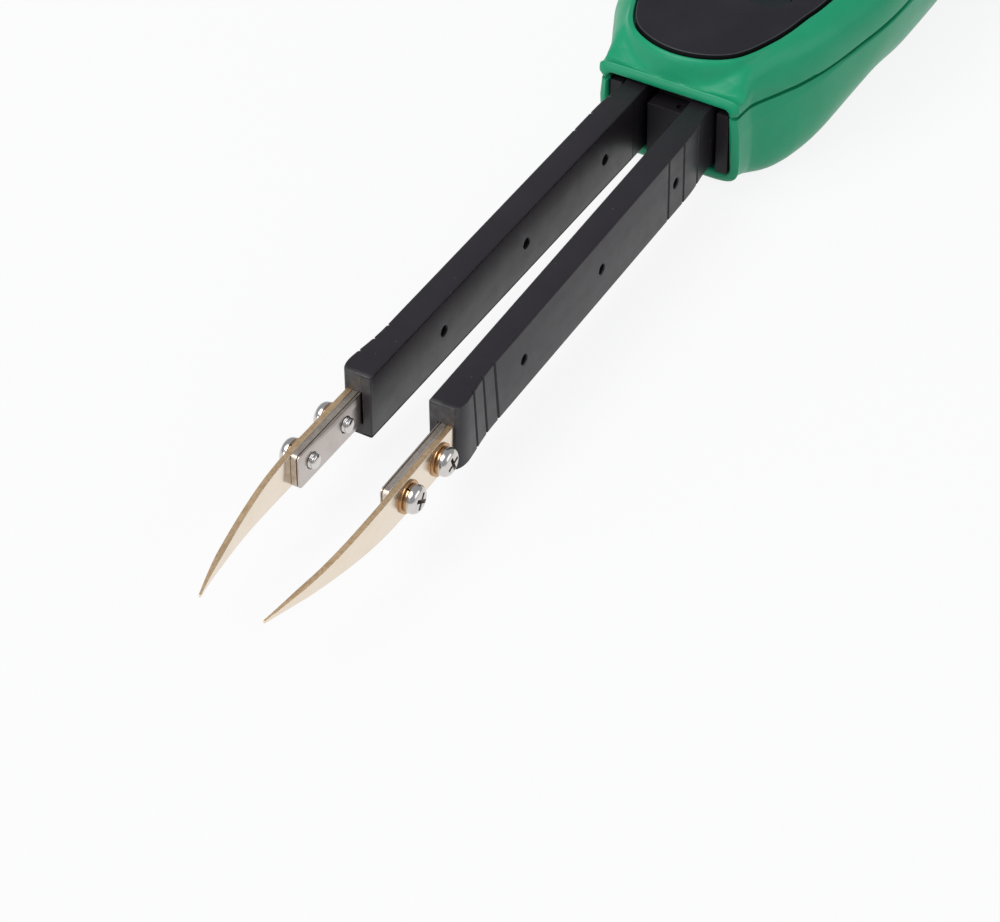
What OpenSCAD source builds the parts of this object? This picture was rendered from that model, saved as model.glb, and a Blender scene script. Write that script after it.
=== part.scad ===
// Measuring tweezers for surface-mount parts: a hand-held case with a display
// and two buttons, and two sprung arms that end in gold-plated tips.
// Lengths are in millimetres, +Z is up and the tips point along -X.
// Each sub-part is drawn from the mouth of the case: x = 0 is the mouth,
// y = 0 the middle plane and z = 0 the underside of the arms.

/* [Case] */
// Length of the case from its mouth to its rear end
case_l = 80; // [78:0.5:84]
// Greatest width of the case
case_w = 35; // [34:0.5:37]
// Height of the case from its flat base to the top of its panel
case_h = 20; // [19.8:0.1:20.4]
// Thickness of the case walls
case_wall = 1.7; // [1.5:0.1:1.8]
// Height of the parting line over the underside of the arms
parting_z = 8.9; // [8.7:0.1:9.1]

/* [Arms] */
// Distance from the mouth of the case to the points of the tips
tip_reach = 101; // [99:0.5:103]
// Length of an arm in front of the mouth
arm_l = 64.8; // [62:0.2:66]
// Height of an arm
arm_h = 9.3; // [9.2:0.1:9.4]
// Thickness of an arm
arm_t = 3.5; // [3.4:0.05:3.6]
// Clear gap between the arms at the mouth
arm_gap = 6.3; // [6.2:0.1:6.6]
// Angle of each arm away from the middle plane at rest, in degrees
arm_spread = 0.68; // [0.5:0.02:0.8]
// Distance of the arm pivots behind the mouth
pivot_x = 11; // [10.6:0.1:11.2]

/* [Tips] */
// Thickness of a tip blade
blade_t = 0.8; // [0.7:0.05:0.85]
// Height of the electrode strip and of a blade's base
strip_h = 4.8; // [4.6:0.1:5]
// Distance between the two screws of a blade
screw_pitch = 7.3; // [7:0.1:7.6]
// Radius of the inward bend of a blade
bend_r = 91; // [86:1:98]

/* [Controls] */
// Distance of the buttons behind the mouth
button_x = 19.7; // [19.5:0.1:20.5]
// Distance of each button from the middle plane
button_y = 4.9; // [4.8:0.1:5.1]
// Radius of the button holes
button_hole_r = 3.07; // [3:0.01:3.2]
// Length of the display window
window_l = 27; // [24:0.5:28]
// Width of the display window
window_w = 18; // [16:0.5:19]

/* [Hidden] */

$fn = 48;
e = 0.01;

// The part's origin is the middle of its box, on the surface it rests on.
mouth_x = (tip_reach - case_l) / 2;
panel_z = 15.2;
rim_z = panel_z - 0.45;
base_z = panel_z - case_h;

// Case form: [distance behind the mouth, value] pairs along the case.
half_w = case_w / 2;
rear_start_x = case_l - 28;
rear_end_gap = 0.02;
front_x = 0.9;
plan_front = [
    [front_x, 9.6], [1.3, 9.95], [2.4, 10.15], [4.6, 10.3], [6, 10.8], [8, 11.75], [10, 12.7], [12, 13.6],
    [16.5, 15], [22.5, half_w - 1.35], [30, half_w - 0.25], [38, half_w], [case_l, half_w]
];
rise_front = [
    [front_x, 1.95], [1.2, 2.3], [2.2, 2.35], [3.4, 2.75], [4.6, 3.95], [5.8, 5.5], [7, 6.5],
    [9, 7.05], [14, 7.15], [case_l, 7.15]
];
drop_front = [
    [front_x, 10.95], [1.3, 11.25], [2.8, 11.5], [4.5, 12.05], [6, 12.6], [8, 13.3], [10, 13.9], [15, 14.3],
    [22, 13.9], [29, 13.5], [37, 14], [45, 14.2], [case_l, 14.2]
];
round_below = [
    [front_x, 9], [6, 7], [12, 5], [18, 3.9], [24, 3.1], [30, 2.65], [38, 2.8], [case_l, 2.5]
];
round_above = [
    [front_x, 9], [2.2, 7.5], [4, 4.6], [5.8, 3.2], [7.5, 2.85], [12, 3.1], [case_l, 3.15]
];
// Nose of the case round the face panel: [height, distance outside the panel].
nose_rows = [
    [10.6, 1.7], [11.3, 1.3], [11.8, 1.12], [12.4, 1], [13.2, 0.9], [13.75, 0.78], [14.2, 0.6],
    [14.5, 0.4], [14.7, 0.2], [rim_z, 0.05]
];
nose_fade = 1;
nose_fade_x = 4;
nose_end_x = 12.5;
front_lean = 0.09;
front_lean_l = 8;

// Inside of the case.
ceiling_z = 11.9;
floor_slab_z = -0.9;
mouth_half_w = 8.6;
mouth_low_z = -0.6;
mouth_high_z = 9.7;
mouth_depth = 9;
groove_w = 0.3;
groove_depth = 0.8;

// Face panel, let into the upper shell.
panel_t = 1.5;
panel_nose_x = 2.6;
panel_nose_l = 11;
panel_nose_half_w = 10.4;
panel_tail_x = 71;
panel_tail_l = 16;
panel_width_share = 0.75;
panel_gap = 0.25;
window_x = 31;
window_corner_r = 1.2;
window_fit = 0.1;
window_sink = 0.15;
window_flange = 0.45;
window_flange_t = 0.6;

// Battery door and the cell behind it.
door_x = 40;
door_half_w = 10;
door_top_z = -2.4;
door_gap = 0.2;
tongue_t = 0.6;
tongue_w = 0.85;
lip_end_x = 58;
door_grip_x = 4;
door_grip_pitch = 1.4;
door_grip_w = 0.7;
door_grip_l = 10;
door_grip_depth = 0.35;
cell_x = 54;
cell_r = 10;
cell_t = 3.2;
cell_z = -2.3;
cell_fit = 0.2;
cell_rim = 1.1;
cell_step = 0.4;
holder_wall = 1.4;
holder_notch_w = 6.4;
clip_w = 5.2;
clip_t = 0.3;
clip_foot_l = 1.4;
contact_disc_r = 2.6;
contact_stem_r = 1.2;

// Circuit board and display.
board_z = 6;
board_t = 1.6;
board_x = 17.5;
board_end_x = 66;
board_top_z = board_z + board_t;
board_neck = 8.6;
board_neck_end_x = 21.5;
board_full = 13.6;
board_full_x = 25;
board_taper_x = 58;
board_tail = 11.8;
board_posts = [[26.5, 11.5], [63, 10]];
board_post_r = 1.9;
board_hole_r = 0.95;
board_screw_r = 0.8;
board_screw_head_r = 1.5;
board_screw_reach = 4.4;
glass_t = 2.2;
glass_z = ceiling_z - glass_t;
glass_x = 29;
glass_end_x = 59.5;
glass_half_w = 10.6;
glass_top_half_w = 9.4;
contact_x = 30.5;
contact_l = 27.5;
contact_w = 2;
contact_y = 9.2;

// Buttons, held under the ceiling by a collar.
button_low_z = 11.15;
button_top_z = 14.4;
button_fit = 0.27;
button_collar_w = 1;
button_dish_r = 8;
button_dish_depth = 0.4;
switch_w = 4.5;
switch_h = 1.7;
plunger_r = 1.2;
plunger_gap = 0.55;

// Case screws: [x, y, height of the head's seat].
case_screw_places = [[18.5, 11.2, -1.2], [70, 7, -1.2]];
case_boss_r = 2.3;
case_screw_r = 1;
case_head_r = 1.9;
case_head_h = 1.1;
case_recess_depth = 0.6;

// Arms and what they carry, in the arm's own frame: y = 0 is its inner face.
eye_y = 4.1;
eye_r = 1.9;
pivot_y = arm_gap / 2 + eye_y - pivot_x * sin(arm_spread);
pin_r = 1;
pin_fit = 0.04;
arm_tail_x = 16;
arm_edge = 0.15;
arm_bulge = 0.6;
arm_outer_face = [
    [0, arm_t + 0.05], [0.5, arm_t + 0.35], [1.2, arm_t + 0.55], [2.1, arm_t + arm_bulge],
    [3.2, arm_t + 0.48], [4.3, arm_t + 0.33], [5.4, arm_t + 0.18], [6.6, arm_t + 0.06],
    [8.2, arm_t], [12, arm_t], [arm_l - 8, arm_t], [arm_l - 4.5, arm_t - 0.05],
    [arm_l - 1, arm_t - 0.4], [arm_l + 0.5, arm_t - 0.5], [arm_l + 2.5, arm_t - 0.35],
    [arm_l + 5, arm_t], [arm_l + 9, arm_t]
];
arm_outer_stations = concat(
    [0, 0.2, 0.5, 0.85, 1.2, 1.6, 2.1, 2.6, 3.2, 4.3, 5.4, 6.6, 8.2],
    [for (x = [-6, -4.5, -3.2, -2.1, -1, 0, 1, 2, 3, 4, 5]) arm_l + x]
);
cover_t = 1.25;
cover_edge = 0.25;
cover_end_x = -2;
cover_fit = 0.03;
strip_y = 1.35;
strip_t = 1.12;
strip_z = 4.15 - strip_h / 2;
strip_top_z = strip_z + strip_h;
strip_front_x = -arm_l - 13.5;
strip_tail_x = 16.6;
blade_y = strip_y + strip_t + 0.02;
blade_base_x = -arm_l + 2.5;
bend_x = -arm_l - 12.7;
screw_x = [-arm_l - 3.3, -arm_l - 3.3 - screw_pitch];
screw_z = strip_z + strip_h / 2;
arm_hole_x = [-9.2, -28.8, -48.3];
arm_hole_z = arm_h / 2;
arm_hole_r = 0.7;
tip_groove_x = [-61.2, -58.7, -56];
root_groove_x = [-11.3, -7.2, -3];
arm_groove_w = 0.3;
arm_groove_depth = 0.25;

// Height of a blade's upper and lower edge along its length.
blade_upper_edge = [
    [-tip_reach, 4.35], [-97, 4.8], [-92, 5.2], [-87.5, 5.7], [-83, 6.2], [-78, 6.5],
    [-73.5, strip_top_z], [0, strip_top_z]
];
blade_lower_edge = [
    [-tip_reach, 4.05], [-97, 3.75], [-92, 3.15], [-87.5, 2.6], [-83, 2.1], [-78, 1.8],
    [-73.5, strip_z], [0, strip_z]
];

// Tip screws and their washers.
tip_screw_r = 0.8;
tip_head_r = 1.8;
tip_head_h = 1.15;
tip_head_side = 0.45;
tip_head_round = 0.85;
tip_recess_depth = 0.75;
tip_recess_turn = 20;
flat_washer_r = 2.1;
flat_washer_t = 0.3;
spring_washer_r = 1.75;
spring_washer_t = 0.4;
washer_hole_r = 0.9;
screw_end = 0.8;
screw_end_round = 0.35;
recess_l = 2.1;
recess_w = 0.4;

// Yoke that carries the arms.
yoke_low_z = -1.6;
yoke_high_z = 10.9;
yoke_front_x = 0.6;
yoke_rear_x = 16.9;
yoke_top_end_x = 15.7;
yoke_rib_x = 9;
yoke_rib_end_x = 15.5;
yoke_rib_half_w = 3;
cheek_x = 13.2;
cheek_end_x = 16.1;
cheek_end_y = 10;
front_cheek_x = 1.5;
front_cheek_end_x = 5.2;
front_cheek_top_z = 8.5;
plate_x = 7.6;
plate_top_x = 8.6;
yoke_step_x = 6.8;
yoke_top_x = 7;
plate_half_w = 9.4;
island_half_w = 2.6;
island_top_z = 7.4;
island_step_x = 3.6;
spring_x = 14.4;
spring_z = 4.6;
spring_r = 0.95;
spring_wire_r = 0.15;
spring_turns = 6;
spring_inner_y = 5.95;
spring_outer_y = 9.6;

// Signal leads, from the strip's tail to the board, in the arm's own frame.
lead_r = 0.45;
lead_route = [
    [strip_tail_x, 1.9, 4.15], [17, 1.9, 4.15], [17.6, 1.95, 4.25], [18.4, 2.15, 4.55],
    [19.1, 2.5, 5.05], [19.4, 2.7, 5.5], [19.4, 2.7, board_z]
];

// Smooth curve through [x, value] pairs.
function pair_slope(p, i) =
    let (a = max(i - 1, 0), b = min(i + 1, len(p) - 1))
    (p[b][1] - p[a][1]) / (p[b][0] - p[a][0]);
function hermite(p, i, x) =
    let (
        span = p[i + 1][0] - p[i][0],
        t = min(max((x - p[i][0]) / span, 0), 1),
        t2 = t * t,
        t3 = t2 * t
    )
    (2 * t3 - 3 * t2 + 1) * p[i][1]
    + (t3 - 2 * t2 + t) * span * pair_slope(p, i)
    + (3 * t2 - 2 * t3) * p[i + 1][1]
    + (t3 - t2) * span * pair_slope(p, i + 1);
function curve(p, x, i = 0) =
    i >= len(p) - 2 || x < p[i + 1][0] ? hermite(p, i, x) : curve(p, x, i + 1);

// Fall of the case towards its rear end: 1 in front of start, 0 past the end.
function rear_fall(x, start, n) =
    x <= start ? 1 : pow(1 - pow((x - start) / (case_l + rear_end_gap - start), n), 1 / n);

// Half width, rise over the parting plane and drop under it, along the case.
function plan(x) = curve(plan_front, x) * rear_fall(x, rear_start_x, 2.4);
function rise(x) = curve(rise_front, x) * rear_fall(x, case_l - 30, 3);
function drop(x) = curve(drop_front, x) * rear_fall(x, case_l - 24, 2.6);

// One cross-section of the case: a rounded oval, flat at the rim and the base.
function signed_pow(v, p) = sign(v) * pow(abs(v), p);
function section(x, inset, count) =
    let (
        w = plan(x) - inset,
        up = max(rise(x) - inset, 0.4),
        down = max(drop(x) - inset, 0.4),
        na = curve(round_above, x),
        nb = curve(round_below, x)
    )
    [for (k = [0 : count - 1])
        let (
            t = 360 * k / count,
            n = sin(t) >= 0 ? na : nb,
            h = sin(t) >= 0 ? up : down,
            y = w * signed_pow(cos(t), 2 / n),
            z = parting_z + h * signed_pow(sin(t), 2 / n),
            lean = front_lean * max(1 - x / front_lean_l, 0) * max(parting_z - z, 0)
        )
        [x + lean, y, min(max(z, base_z + inset), rim_z - inset)]];

module loft(rings) {
    count = len(rings[0]);
    last = len(rings) - 1;
    points = [for (ring = rings) each ring];
    sides = [for (i = [0 : last - 1]) for (j = [0 : count - 1])
        let (
            a = i * count + j,
            b = i * count + (j + 1) % count,
            c = b + count,
            d = a + count
        )
        each [[a, d, c], [a, c, b]]];
    front = [for (j = [0 : count - 1]) j];
    rear = [for (j = [0 : count - 1]) last * count + count - 1 - j];
    polyhedron(points, concat([front], sides, [rear]), convexity = 6);
}

// Places of the sections: close at the mouth and the rear, wide between.
form_stations = concat(
    [front_x, 1.05, 1.3, 1.6, 2, 2.4, 2.8, 3.3, 4, 4.9, 5.9],
    [for (x = [7 : 1.5 : 16]) x],
    [for (x = [18.5 : 3.5 : 50]) x],
    [for (k = [0 : 9]) 53 + (case_l - 53) * sin(90 * k / 9)]
);
cavity_stations = concat(
    [3.6, 5.2, 7, 9, 12, 16, 21, 27, 34, 42, 50],
    [for (k = [1 : 6]) 50 + (case_l - case_wall - 0.3 - 50) * sin(90 * k / 6)]
);

module case_form() {
    loft([for (x = form_stations) section(x, 0, 44)]);
}

module slab_box(x0, x1, half, z0, z1) {
    translate([x0, -half, z0]) cube([x1 - x0, 2 * half, z1 - z0]);
}

module mirrored_pair() {
    children();
    mirror([0, 1, 0]) children();
}

module case_bosses() {
    mirrored_pair() for (p = case_screw_places)
        translate([p[0], p[1], base_z]) cylinder(r = case_boss_r, h = case_h);
}

module board_post_columns() {
    mirrored_pair() for (p = board_posts)
        translate([p[0], p[1], board_top_z]) cylinder(r = board_post_r, h = 6);
}

// Room inside the two shells, with the bosses and the door's floor left in it.
module case_cavity() {
    difference() {
        intersection() {
            loft([for (x = cavity_stations) section(x, case_wall, 28)]);
            slab_box(0, case_l, case_w, base_z, ceiling_z);
        }
        slab_box(door_x - 2, case_l, case_w, base_z, floor_slab_z);
        case_bosses();
        slab_box(yoke_rib_x, yoke_rib_end_x, yoke_rib_half_w, base_z - 1, yoke_low_z);
        slab_box(yoke_rib_x, yoke_rib_end_x, yoke_rib_half_w, yoke_high_z, rim_z);
    }
    slab_box(-1, mouth_depth, mouth_half_w, mouth_low_z, mouth_high_z);
    slab_box(yoke_step_x - 0.1, plate_x, mouth_half_w, yoke_low_z, mouth_low_z + e);
    slab_box(plate_x - 0.1, yoke_rear_x + 0.1, plate_half_w + 0.1, yoke_low_z, mouth_low_z + e);
}

module parting_lip() {
    xs = [for (x = form_stations) if (x >= 1.6 && x <= case_l - 1.5) x];
    edge = [for (x = xs) [x, plan(x) - groove_depth]];
    mirrored = [for (k = [len(edge) - 1 : -1 : 0]) [edge[k][0], -edge[k][1]]];
    translate([0, 0, parting_z - groove_w])
        linear_extrude(groove_w + e) polygon(concat(edge, mirrored));
}

// Outline of the face panel, drawn in by an inset.
function panel_half_w(x, inset) =
    let (
        nose = (panel_nose_x + panel_nose_l - x) / (panel_nose_l - inset),
        tail = (x - panel_tail_x + panel_tail_l) / (panel_tail_l - inset),
        side = panel_width_share * plan(x) - inset,
        nose_w = (panel_nose_half_w - inset) * sqrt(max(1 - nose * nose, 0)),
        tail_w = side * sqrt(max(1 - tail * tail, 0))
    )
    nose > 0 ? min(nose_w, side) : tail > 0 ? tail_w : side;

// Ring of the nose at one height, counter-clockwise seen from above, fading into the case.
function nose_half_w(x, out) =
    let (t = min(max((x - nose_fade_x) / (nose_end_x - nose_fade_x), 0), 1))
    panel_half_w(x, -out) - nose_fade * t * t * (3 - 2 * t);
function nose_ring(z, out) =
    let (
        tip = panel_nose_x - out,
        xs = [for (k = [0 : 12]) tip + (nose_end_x - tip) * (1 - cos(90 * k / 12))],
        side = [for (x = xs) [x, nose_half_w(x, out), z]],
        far = [for (k = [len(side) - 1 : -1 : 0]) side[k]],
        near = [for (k = [1 : len(side) - 1]) [side[k][0], -side[k][1], z]]
    )
    concat(far, near);

module case_nose() {
    intersection() {
        loft([for (row = nose_rows) nose_ring(row[0], row[1])]);
        slab_box(front_x, nose_end_x, case_w, parting_z, rim_z);
    }
}

module panel_outline(inset) {
    nose_end = panel_nose_x + panel_nose_l;
    tail_start = panel_tail_x - panel_tail_l;
    xs = concat(
        [for (k = [0 : 12]) nose_end - (panel_nose_l - inset) * cos(90 * k / 12)],
        [for (k = [1 : 12]) nose_end + (tail_start - nose_end) * k / 12],
        [for (k = [1 : 12]) tail_start + (panel_tail_l - inset) * sin(90 * k / 12)]
    );
    edge = [for (x = xs) [x, panel_half_w(x, inset)]];
    inner = len(edge) - 2;
    mirrored = [for (k = [inner : -1 : 1]) [edge[k][0], -edge[k][1]]];
    polygon(concat(edge, mirrored));
}

module rounded_rectangle(l, w, r) {
    union() {
        translate([r, -w / 2]) square([l - 2 * r, w]);
        translate([0, r - w / 2]) square([l, w - 2 * r]);
        for (x = [r, l - r]) for (y = [r - w / 2, w / 2 - r]) translate([x, y]) circle(r = r);
    }
}

module upper_shell_shape() {
    difference() {
        union() {
            intersection() {
                case_form();
                slab_box(-1, case_l + 1, case_w, parting_z, rim_z + 1);
            }
            case_nose();
            parting_lip();
        }
        difference() {
            case_cavity();
            board_post_columns();
        }
        translate([0, 0, panel_z - panel_t]) linear_extrude(5) panel_outline(0);
        slab_box(window_x - 1, window_x + window_l + 1, window_w / 2 + 0.6, ceiling_z - e, rim_z);
        mirrored_pair() translate([button_x, button_y, 0]) cylinder(r = button_hole_r, h = rim_z);
        mirrored_pair() for (p = case_screw_places)
            translate([p[0], p[1], 0]) cylinder(r = case_screw_r, h = ceiling_z - 0.4);
        mirrored_pair() for (p = board_posts)
            translate([p[0], p[1], 0]) cylinder(r = board_screw_r, h = ceiling_z - 0.9);
    }
}

// The door's plate, its tongues over the lips, and its wider rear part.
module door_block(gap) {
    low = base_z - 1;
    top = door_top_z + gap;
    wide = door_half_w + tongue_w + gap;
    rear = case_l + 1;
    slab_box(door_x - gap, rear, door_half_w + gap, low, top);
    slab_box(door_x - gap, rear, wide, door_top_z - tongue_t - gap, top);
    slab_box(lip_end_x - gap, rear, wide, low, top);
}

module lower_shell_shape() {
    difference() {
        intersection() {
            case_form();
            slab_box(-1, case_l + 1, case_w, base_z - 1, parting_z - groove_w);
        }
        case_cavity();
        door_block(door_gap);
        translate([cell_x, 0, base_z]) cylinder(r = cell_r + 0.6, h = floor_slab_z - base_z + 1);
        mirrored_pair() for (p = case_screw_places) translate([p[0], p[1], 0]) {
            translate([0, 0, base_z - 1]) cylinder(r = case_head_r + 0.2, h = p[2] - base_z + 1);
            translate([0, 0, base_z]) cylinder(r = case_screw_r + 0.1, h = case_h);
        }
    }
}

module battery_door_shape() {
    difference() {
        intersection() {
            case_form();
            door_block(0);
        }
        for (k = [0 : 4])
            translate([door_x + door_grip_x + door_grip_pitch * k, -door_grip_l / 2, base_z - 1])
                cube([door_grip_w, door_grip_l, door_grip_depth + 1]);
    }
}

module face_panel_shape() {
    translate([0, 0, panel_z - panel_t]) linear_extrude(panel_t) difference() {
        panel_outline(panel_gap);
        translate([window_x, 0]) rounded_rectangle(window_l, window_w, window_corner_r);
        for (s = [-1, 1]) translate([button_x, s * button_y]) circle(r = button_hole_r);
    }
}

module display_window_shape() {
    low = panel_z - panel_t;
    fit = window_fit;
    wide = window_flange;
    translate([window_x + fit, 0, low - e])
        linear_extrude(panel_t - window_sink)
            rounded_rectangle(window_l - 2 * fit, window_w - 2 * fit, window_corner_r - fit);
    slab_box(
        window_x - wide, window_x + window_l + wide, window_w / 2 + wide, low - window_flange_t, low
    );
}

module display_glass_shape() {
    lower_t = glass_t / 2;
    slab_box(glass_x, glass_end_x, glass_half_w, glass_z, glass_z + lower_t);
    slab_box(glass_x, glass_end_x, glass_top_half_w, glass_z + lower_t - e, glass_z + glass_t);
}

module display_contact_strips_shape() {
    for (s = [-1, 1])
        translate([contact_x, s * contact_y - contact_w / 2, board_top_z])
            cube([contact_l, contact_w, glass_z - board_top_z]);
}

module circuit_board_shape() {
    side = [
        [board_x, board_neck], [board_neck_end_x, board_neck], [board_full_x, board_full],
        [board_taper_x, board_full], [board_end_x, board_tail]
    ];
    other = [for (k = [len(side) - 1 : -1 : 0]) [side[k][0], -side[k][1]]];
    difference() {
        translate([0, 0, board_z]) linear_extrude(board_t) polygon(concat(side, other));
        mirrored_pair() for (p = board_posts)
            translate([p[0], p[1], board_z - 1]) cylinder(r = board_hole_r, h = board_t + 2);
    }
}

// Size and place of each part on the board's underside: [x, y, length, width, height].
component_list = [
    [27, -3.5, 7, 7, 1], [36, 5, 5, 4, 1.1], [26.5, 6, 3, 3.5, 1.2], [36, -6, 3.2, 1.6, 0.9],
    [35.5, -1, 2, 1.2, 0.7], [31, 4, 1.6, 0.8, 0.6], [22.5, -5.5, 2, 1.2, 0.7]
];

module board_components_shape() {
    for (c = component_list)
        translate([c[0], c[1] - c[3] / 2, board_z - c[4]]) cube([c[2], c[3], c[4]]);
    for (s = [-1, 1]) translate([39, s * 10, board_z - 1.6]) cylinder(r = 1.5, h = 1.6);
}

module board_screws_shape() {
    mirrored_pair() for (p = board_posts) translate([p[0], p[1], 0]) {
        translate([0, 0, board_z - 1]) cylinder(r = board_screw_head_r, h = 1);
        translate([0, 0, board_z - e]) cylinder(r = board_screw_r, h = board_screw_reach);
    }
}

// A button: a dished cap on a collar that the shell keeps in.
module button_shape() {
    cap_r = button_hole_r - button_fit;
    dish_z = button_top_z + button_dish_r - button_dish_depth;
    translate([button_x, button_y, 0]) difference() {
        union() {
            translate([0, 0, button_low_z])
                cylinder(r = cap_r + button_collar_w, h = ceiling_z - button_low_z);
            translate([0, 0, button_low_z]) cylinder(r = cap_r, h = button_top_z - button_low_z);
        }
        translate([0, 0, dish_z]) sphere(r = button_dish_r, $fn = 64);
    }
}

module button_switch_shape() {
    translate([button_x - switch_w / 2, button_y - switch_w / 2, board_top_z])
        cube([switch_w, switch_w, switch_h]);
    translate([button_x, button_y, board_top_z])
        cylinder(r = plunger_r, h = button_low_z - plunger_gap - board_top_z);
}

module battery_holder_shape() {
    top = board_z;
    low = floor_slab_z;
    difference() {
        translate([cell_x, 0, low])
            cylinder(r = cell_r + cell_fit + holder_wall, h = top - low);
        translate([cell_x, 0, low - 1]) cylinder(r = cell_r + cell_fit, h = top - low - 0.2);
        translate([cell_x - 14, -holder_notch_w / 2, low - 1])
            cube([5, holder_notch_w, top - low + 2]);
        translate([cell_x, 0, 0]) cylinder(r = contact_disc_r + 0.4, h = 10);
    }
}

module coin_cell_shape() {
    translate([cell_x, 0, cell_z]) {
        cylinder(r = cell_r, h = cell_t - cell_step);
        cylinder(r = cell_r - cell_rim, h = cell_t);
    }
}

module battery_contact_clip_shape() {
    side_x = cell_x - cell_r - clip_t;
    low = floor_slab_z + 0.3;
    foot_x = side_x - clip_foot_l + clip_t / 2;
    translate([side_x, -clip_w / 2, low]) cube([clip_t, clip_w, board_z - low]);
    translate([foot_x, -clip_w / 2, board_z - clip_t]) cube([clip_foot_l, clip_w, clip_t]);
}

module battery_contact_spring_shape() {
    top = cell_z + cell_t;
    translate([cell_x, 0, top]) cylinder(r = contact_disc_r, h = clip_t);
    translate([cell_x, 0, top]) cylinder(r = contact_stem_r, h = board_z - top);
}

module case_screws_shape() {
    mirrored_pair() for (p = case_screw_places) translate([p[0], p[1], p[2]]) {
        difference() {
            translate([0, 0, -case_head_h]) cylinder(r = case_head_r, h = case_head_h);
            translate([0, 0, -case_head_h]) cross_recess(case_recess_depth);
        }
        translate([0, 0, -e]) cylinder(r = case_screw_r, h = ceiling_z - 0.6 - p[2]);
    }
}

// Cross recess cut upwards into a screw head from z = 0.
module cross_recess(depth) {
    for (a = [0, 90]) rotate([0, 0, a])
        translate([-recess_l / 2, -recess_w / 2, -1]) cube([recess_l, recess_w, depth + 1]);
}

// The yoke: an island between the arms, cheeks beside them, plates over and under.
module arm_yoke_shape() {
    low = mouth_low_z + 0.1;
    plate_z = yoke_high_z - 1.25;
    cheek_y = arm_gap / 2 + arm_t + 0.75;
    front_cheek_y = arm_gap / 2 + arm_t + 0.12;
    side = mouth_half_w - 0.15;
    difference() {
        union() {
            slab_box(yoke_front_x, 4, island_half_w, low, island_top_z);
            slab_box(island_step_x, yoke_rear_x, island_half_w, low, plate_z);
            mirrored_pair() translate([front_cheek_x, front_cheek_y, low])
                cube([front_cheek_end_x - front_cheek_x, side - front_cheek_y, front_cheek_top_z - low]);
            mirrored_pair() translate([front_cheek_end_x - 1, cheek_y, low])
                cube([plate_x + 1 - front_cheek_end_x, side - cheek_y, plate_z - low]);
            mirrored_pair() translate([cheek_x, cheek_y, low - 0.1])
                cube([cheek_end_x - cheek_x, cheek_end_y - cheek_y, plate_z - low + 0.2]);
            slab_box(plate_x, yoke_rear_x, plate_half_w, yoke_low_z, low - 0.05);
            slab_box(yoke_top_x, yoke_top_end_x, side, plate_z, yoke_high_z);
            slab_box(plate_top_x, yoke_top_end_x, plate_half_w, plate_z, yoke_high_z);
            slab_box(yoke_step_x, plate_x + 0.5, side, low - 0.6, low + e);
        }
        mirrored_pair() translate([pivot_x, pivot_y, yoke_low_z - 1])
            cylinder(r = pin_r, h = yoke_high_z - yoke_low_z + 2);
        mirrored_pair() translate([spring_x, cheek_y - 1, spring_z])
            rotate([-90, 0, 0]) cylinder(r = spring_r + 0.12, h = spring_outer_y - cheek_y + 1);
        translate([1.9, -1.5, island_top_z - 0.5]) cylinder(r = 0.55, h = 1);
    }
}

module pivot_pin_shape() {
    translate([pivot_x, pivot_y, yoke_low_z + 0.1])
        cylinder(r = pin_r, h = yoke_high_z - yoke_low_z - 0.2);
}

// Wire swept along a route: rings of a tube square to the route.
function unit(v) = v / norm(v);
function ring_at(route, i, r, sides) =
    let (
        a = route[max(i - 1, 0)],
        b = route[min(i + 1, len(route) - 1)],
        along = unit(b - a),
        across = unit(cross([0, 1, 0], along)),
        up = cross(along, across)
    )
    [for (k = [0 : sides - 1])
        route[i] + r * (cos(360 * k / sides) * across + sin(360 * k / sides) * up)];

module tube(route, r, sides) {
    loft([for (i = [0 : len(route) - 1]) ring_at(route, i, r, sides)]);
}

module return_spring_shape() {
    steps = 12 * spring_turns;
    span = spring_outer_y - spring_inner_y - 2 * spring_wire_r;
    coil_r = spring_r - spring_wire_r;
    route = [for (k = [0 : steps]) [
        spring_x + coil_r * cos(30 * k),
        spring_inner_y + spring_wire_r + span * k / steps,
        spring_z + coil_r * sin(30 * k)
    ]];
    tube(route, spring_wire_r, 6);
}

module signal_lead_shape() {
    tube(lead_route, lead_r, 8);
}

// From the arm's own frame to the case: turned outwards about its pivot.
module arm_place() {
    translate([pivot_x, pivot_y, 0]) rotate([0, 0, -arm_spread])
        translate([-pivot_x, -eye_y, 0]) children();
}

// Outline of a whole arm seen from above, with the eye at its outer side.
module arm_plan() {
    outer = [for (run = arm_outer_stations) [run - arm_l, curve(arm_outer_face, run)]];
    polygon(concat([[arm_tail_x, 0], [-arm_l, 0]], outer, [[arm_tail_x, arm_t]]));
}

module arm_eye() {
    translate([pivot_x, eye_y, 0]) cylinder(r = eye_r, h = arm_h);
    linear_extrude(arm_h) polygon([
        [pivot_x - 5.5, arm_t - 0.5], [pivot_x - eye_r, eye_y + 0.6],
        [pivot_x + eye_r, eye_y], [pivot_x + eye_r, arm_t - 0.5]
    ]);
}

// Cross-section of an arm with its four long edges broken.
module arm_block() {
    wide = arm_t + arm_bulge;
    c = arm_edge;
    intersection() {
        linear_extrude(arm_h) arm_plan();
        translate([-arm_l - 1, 0, 0]) rotate([90, 0, 90]) linear_extrude(arm_l + arm_tail_x + 2)
            polygon([
                [c, 0], [wide - c, 0], [wide, c], [wide, arm_h - c], [wide - c, arm_h],
                [c, arm_h], [0, arm_h - c], [0, c]
            ]);
    }
}

module arm_through_holes() {
    for (x = arm_hole_x) translate([x, -1, arm_hole_z]) rotate([-90, 0, 0])
        cylinder(r = arm_hole_r, h = 8);
}

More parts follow.
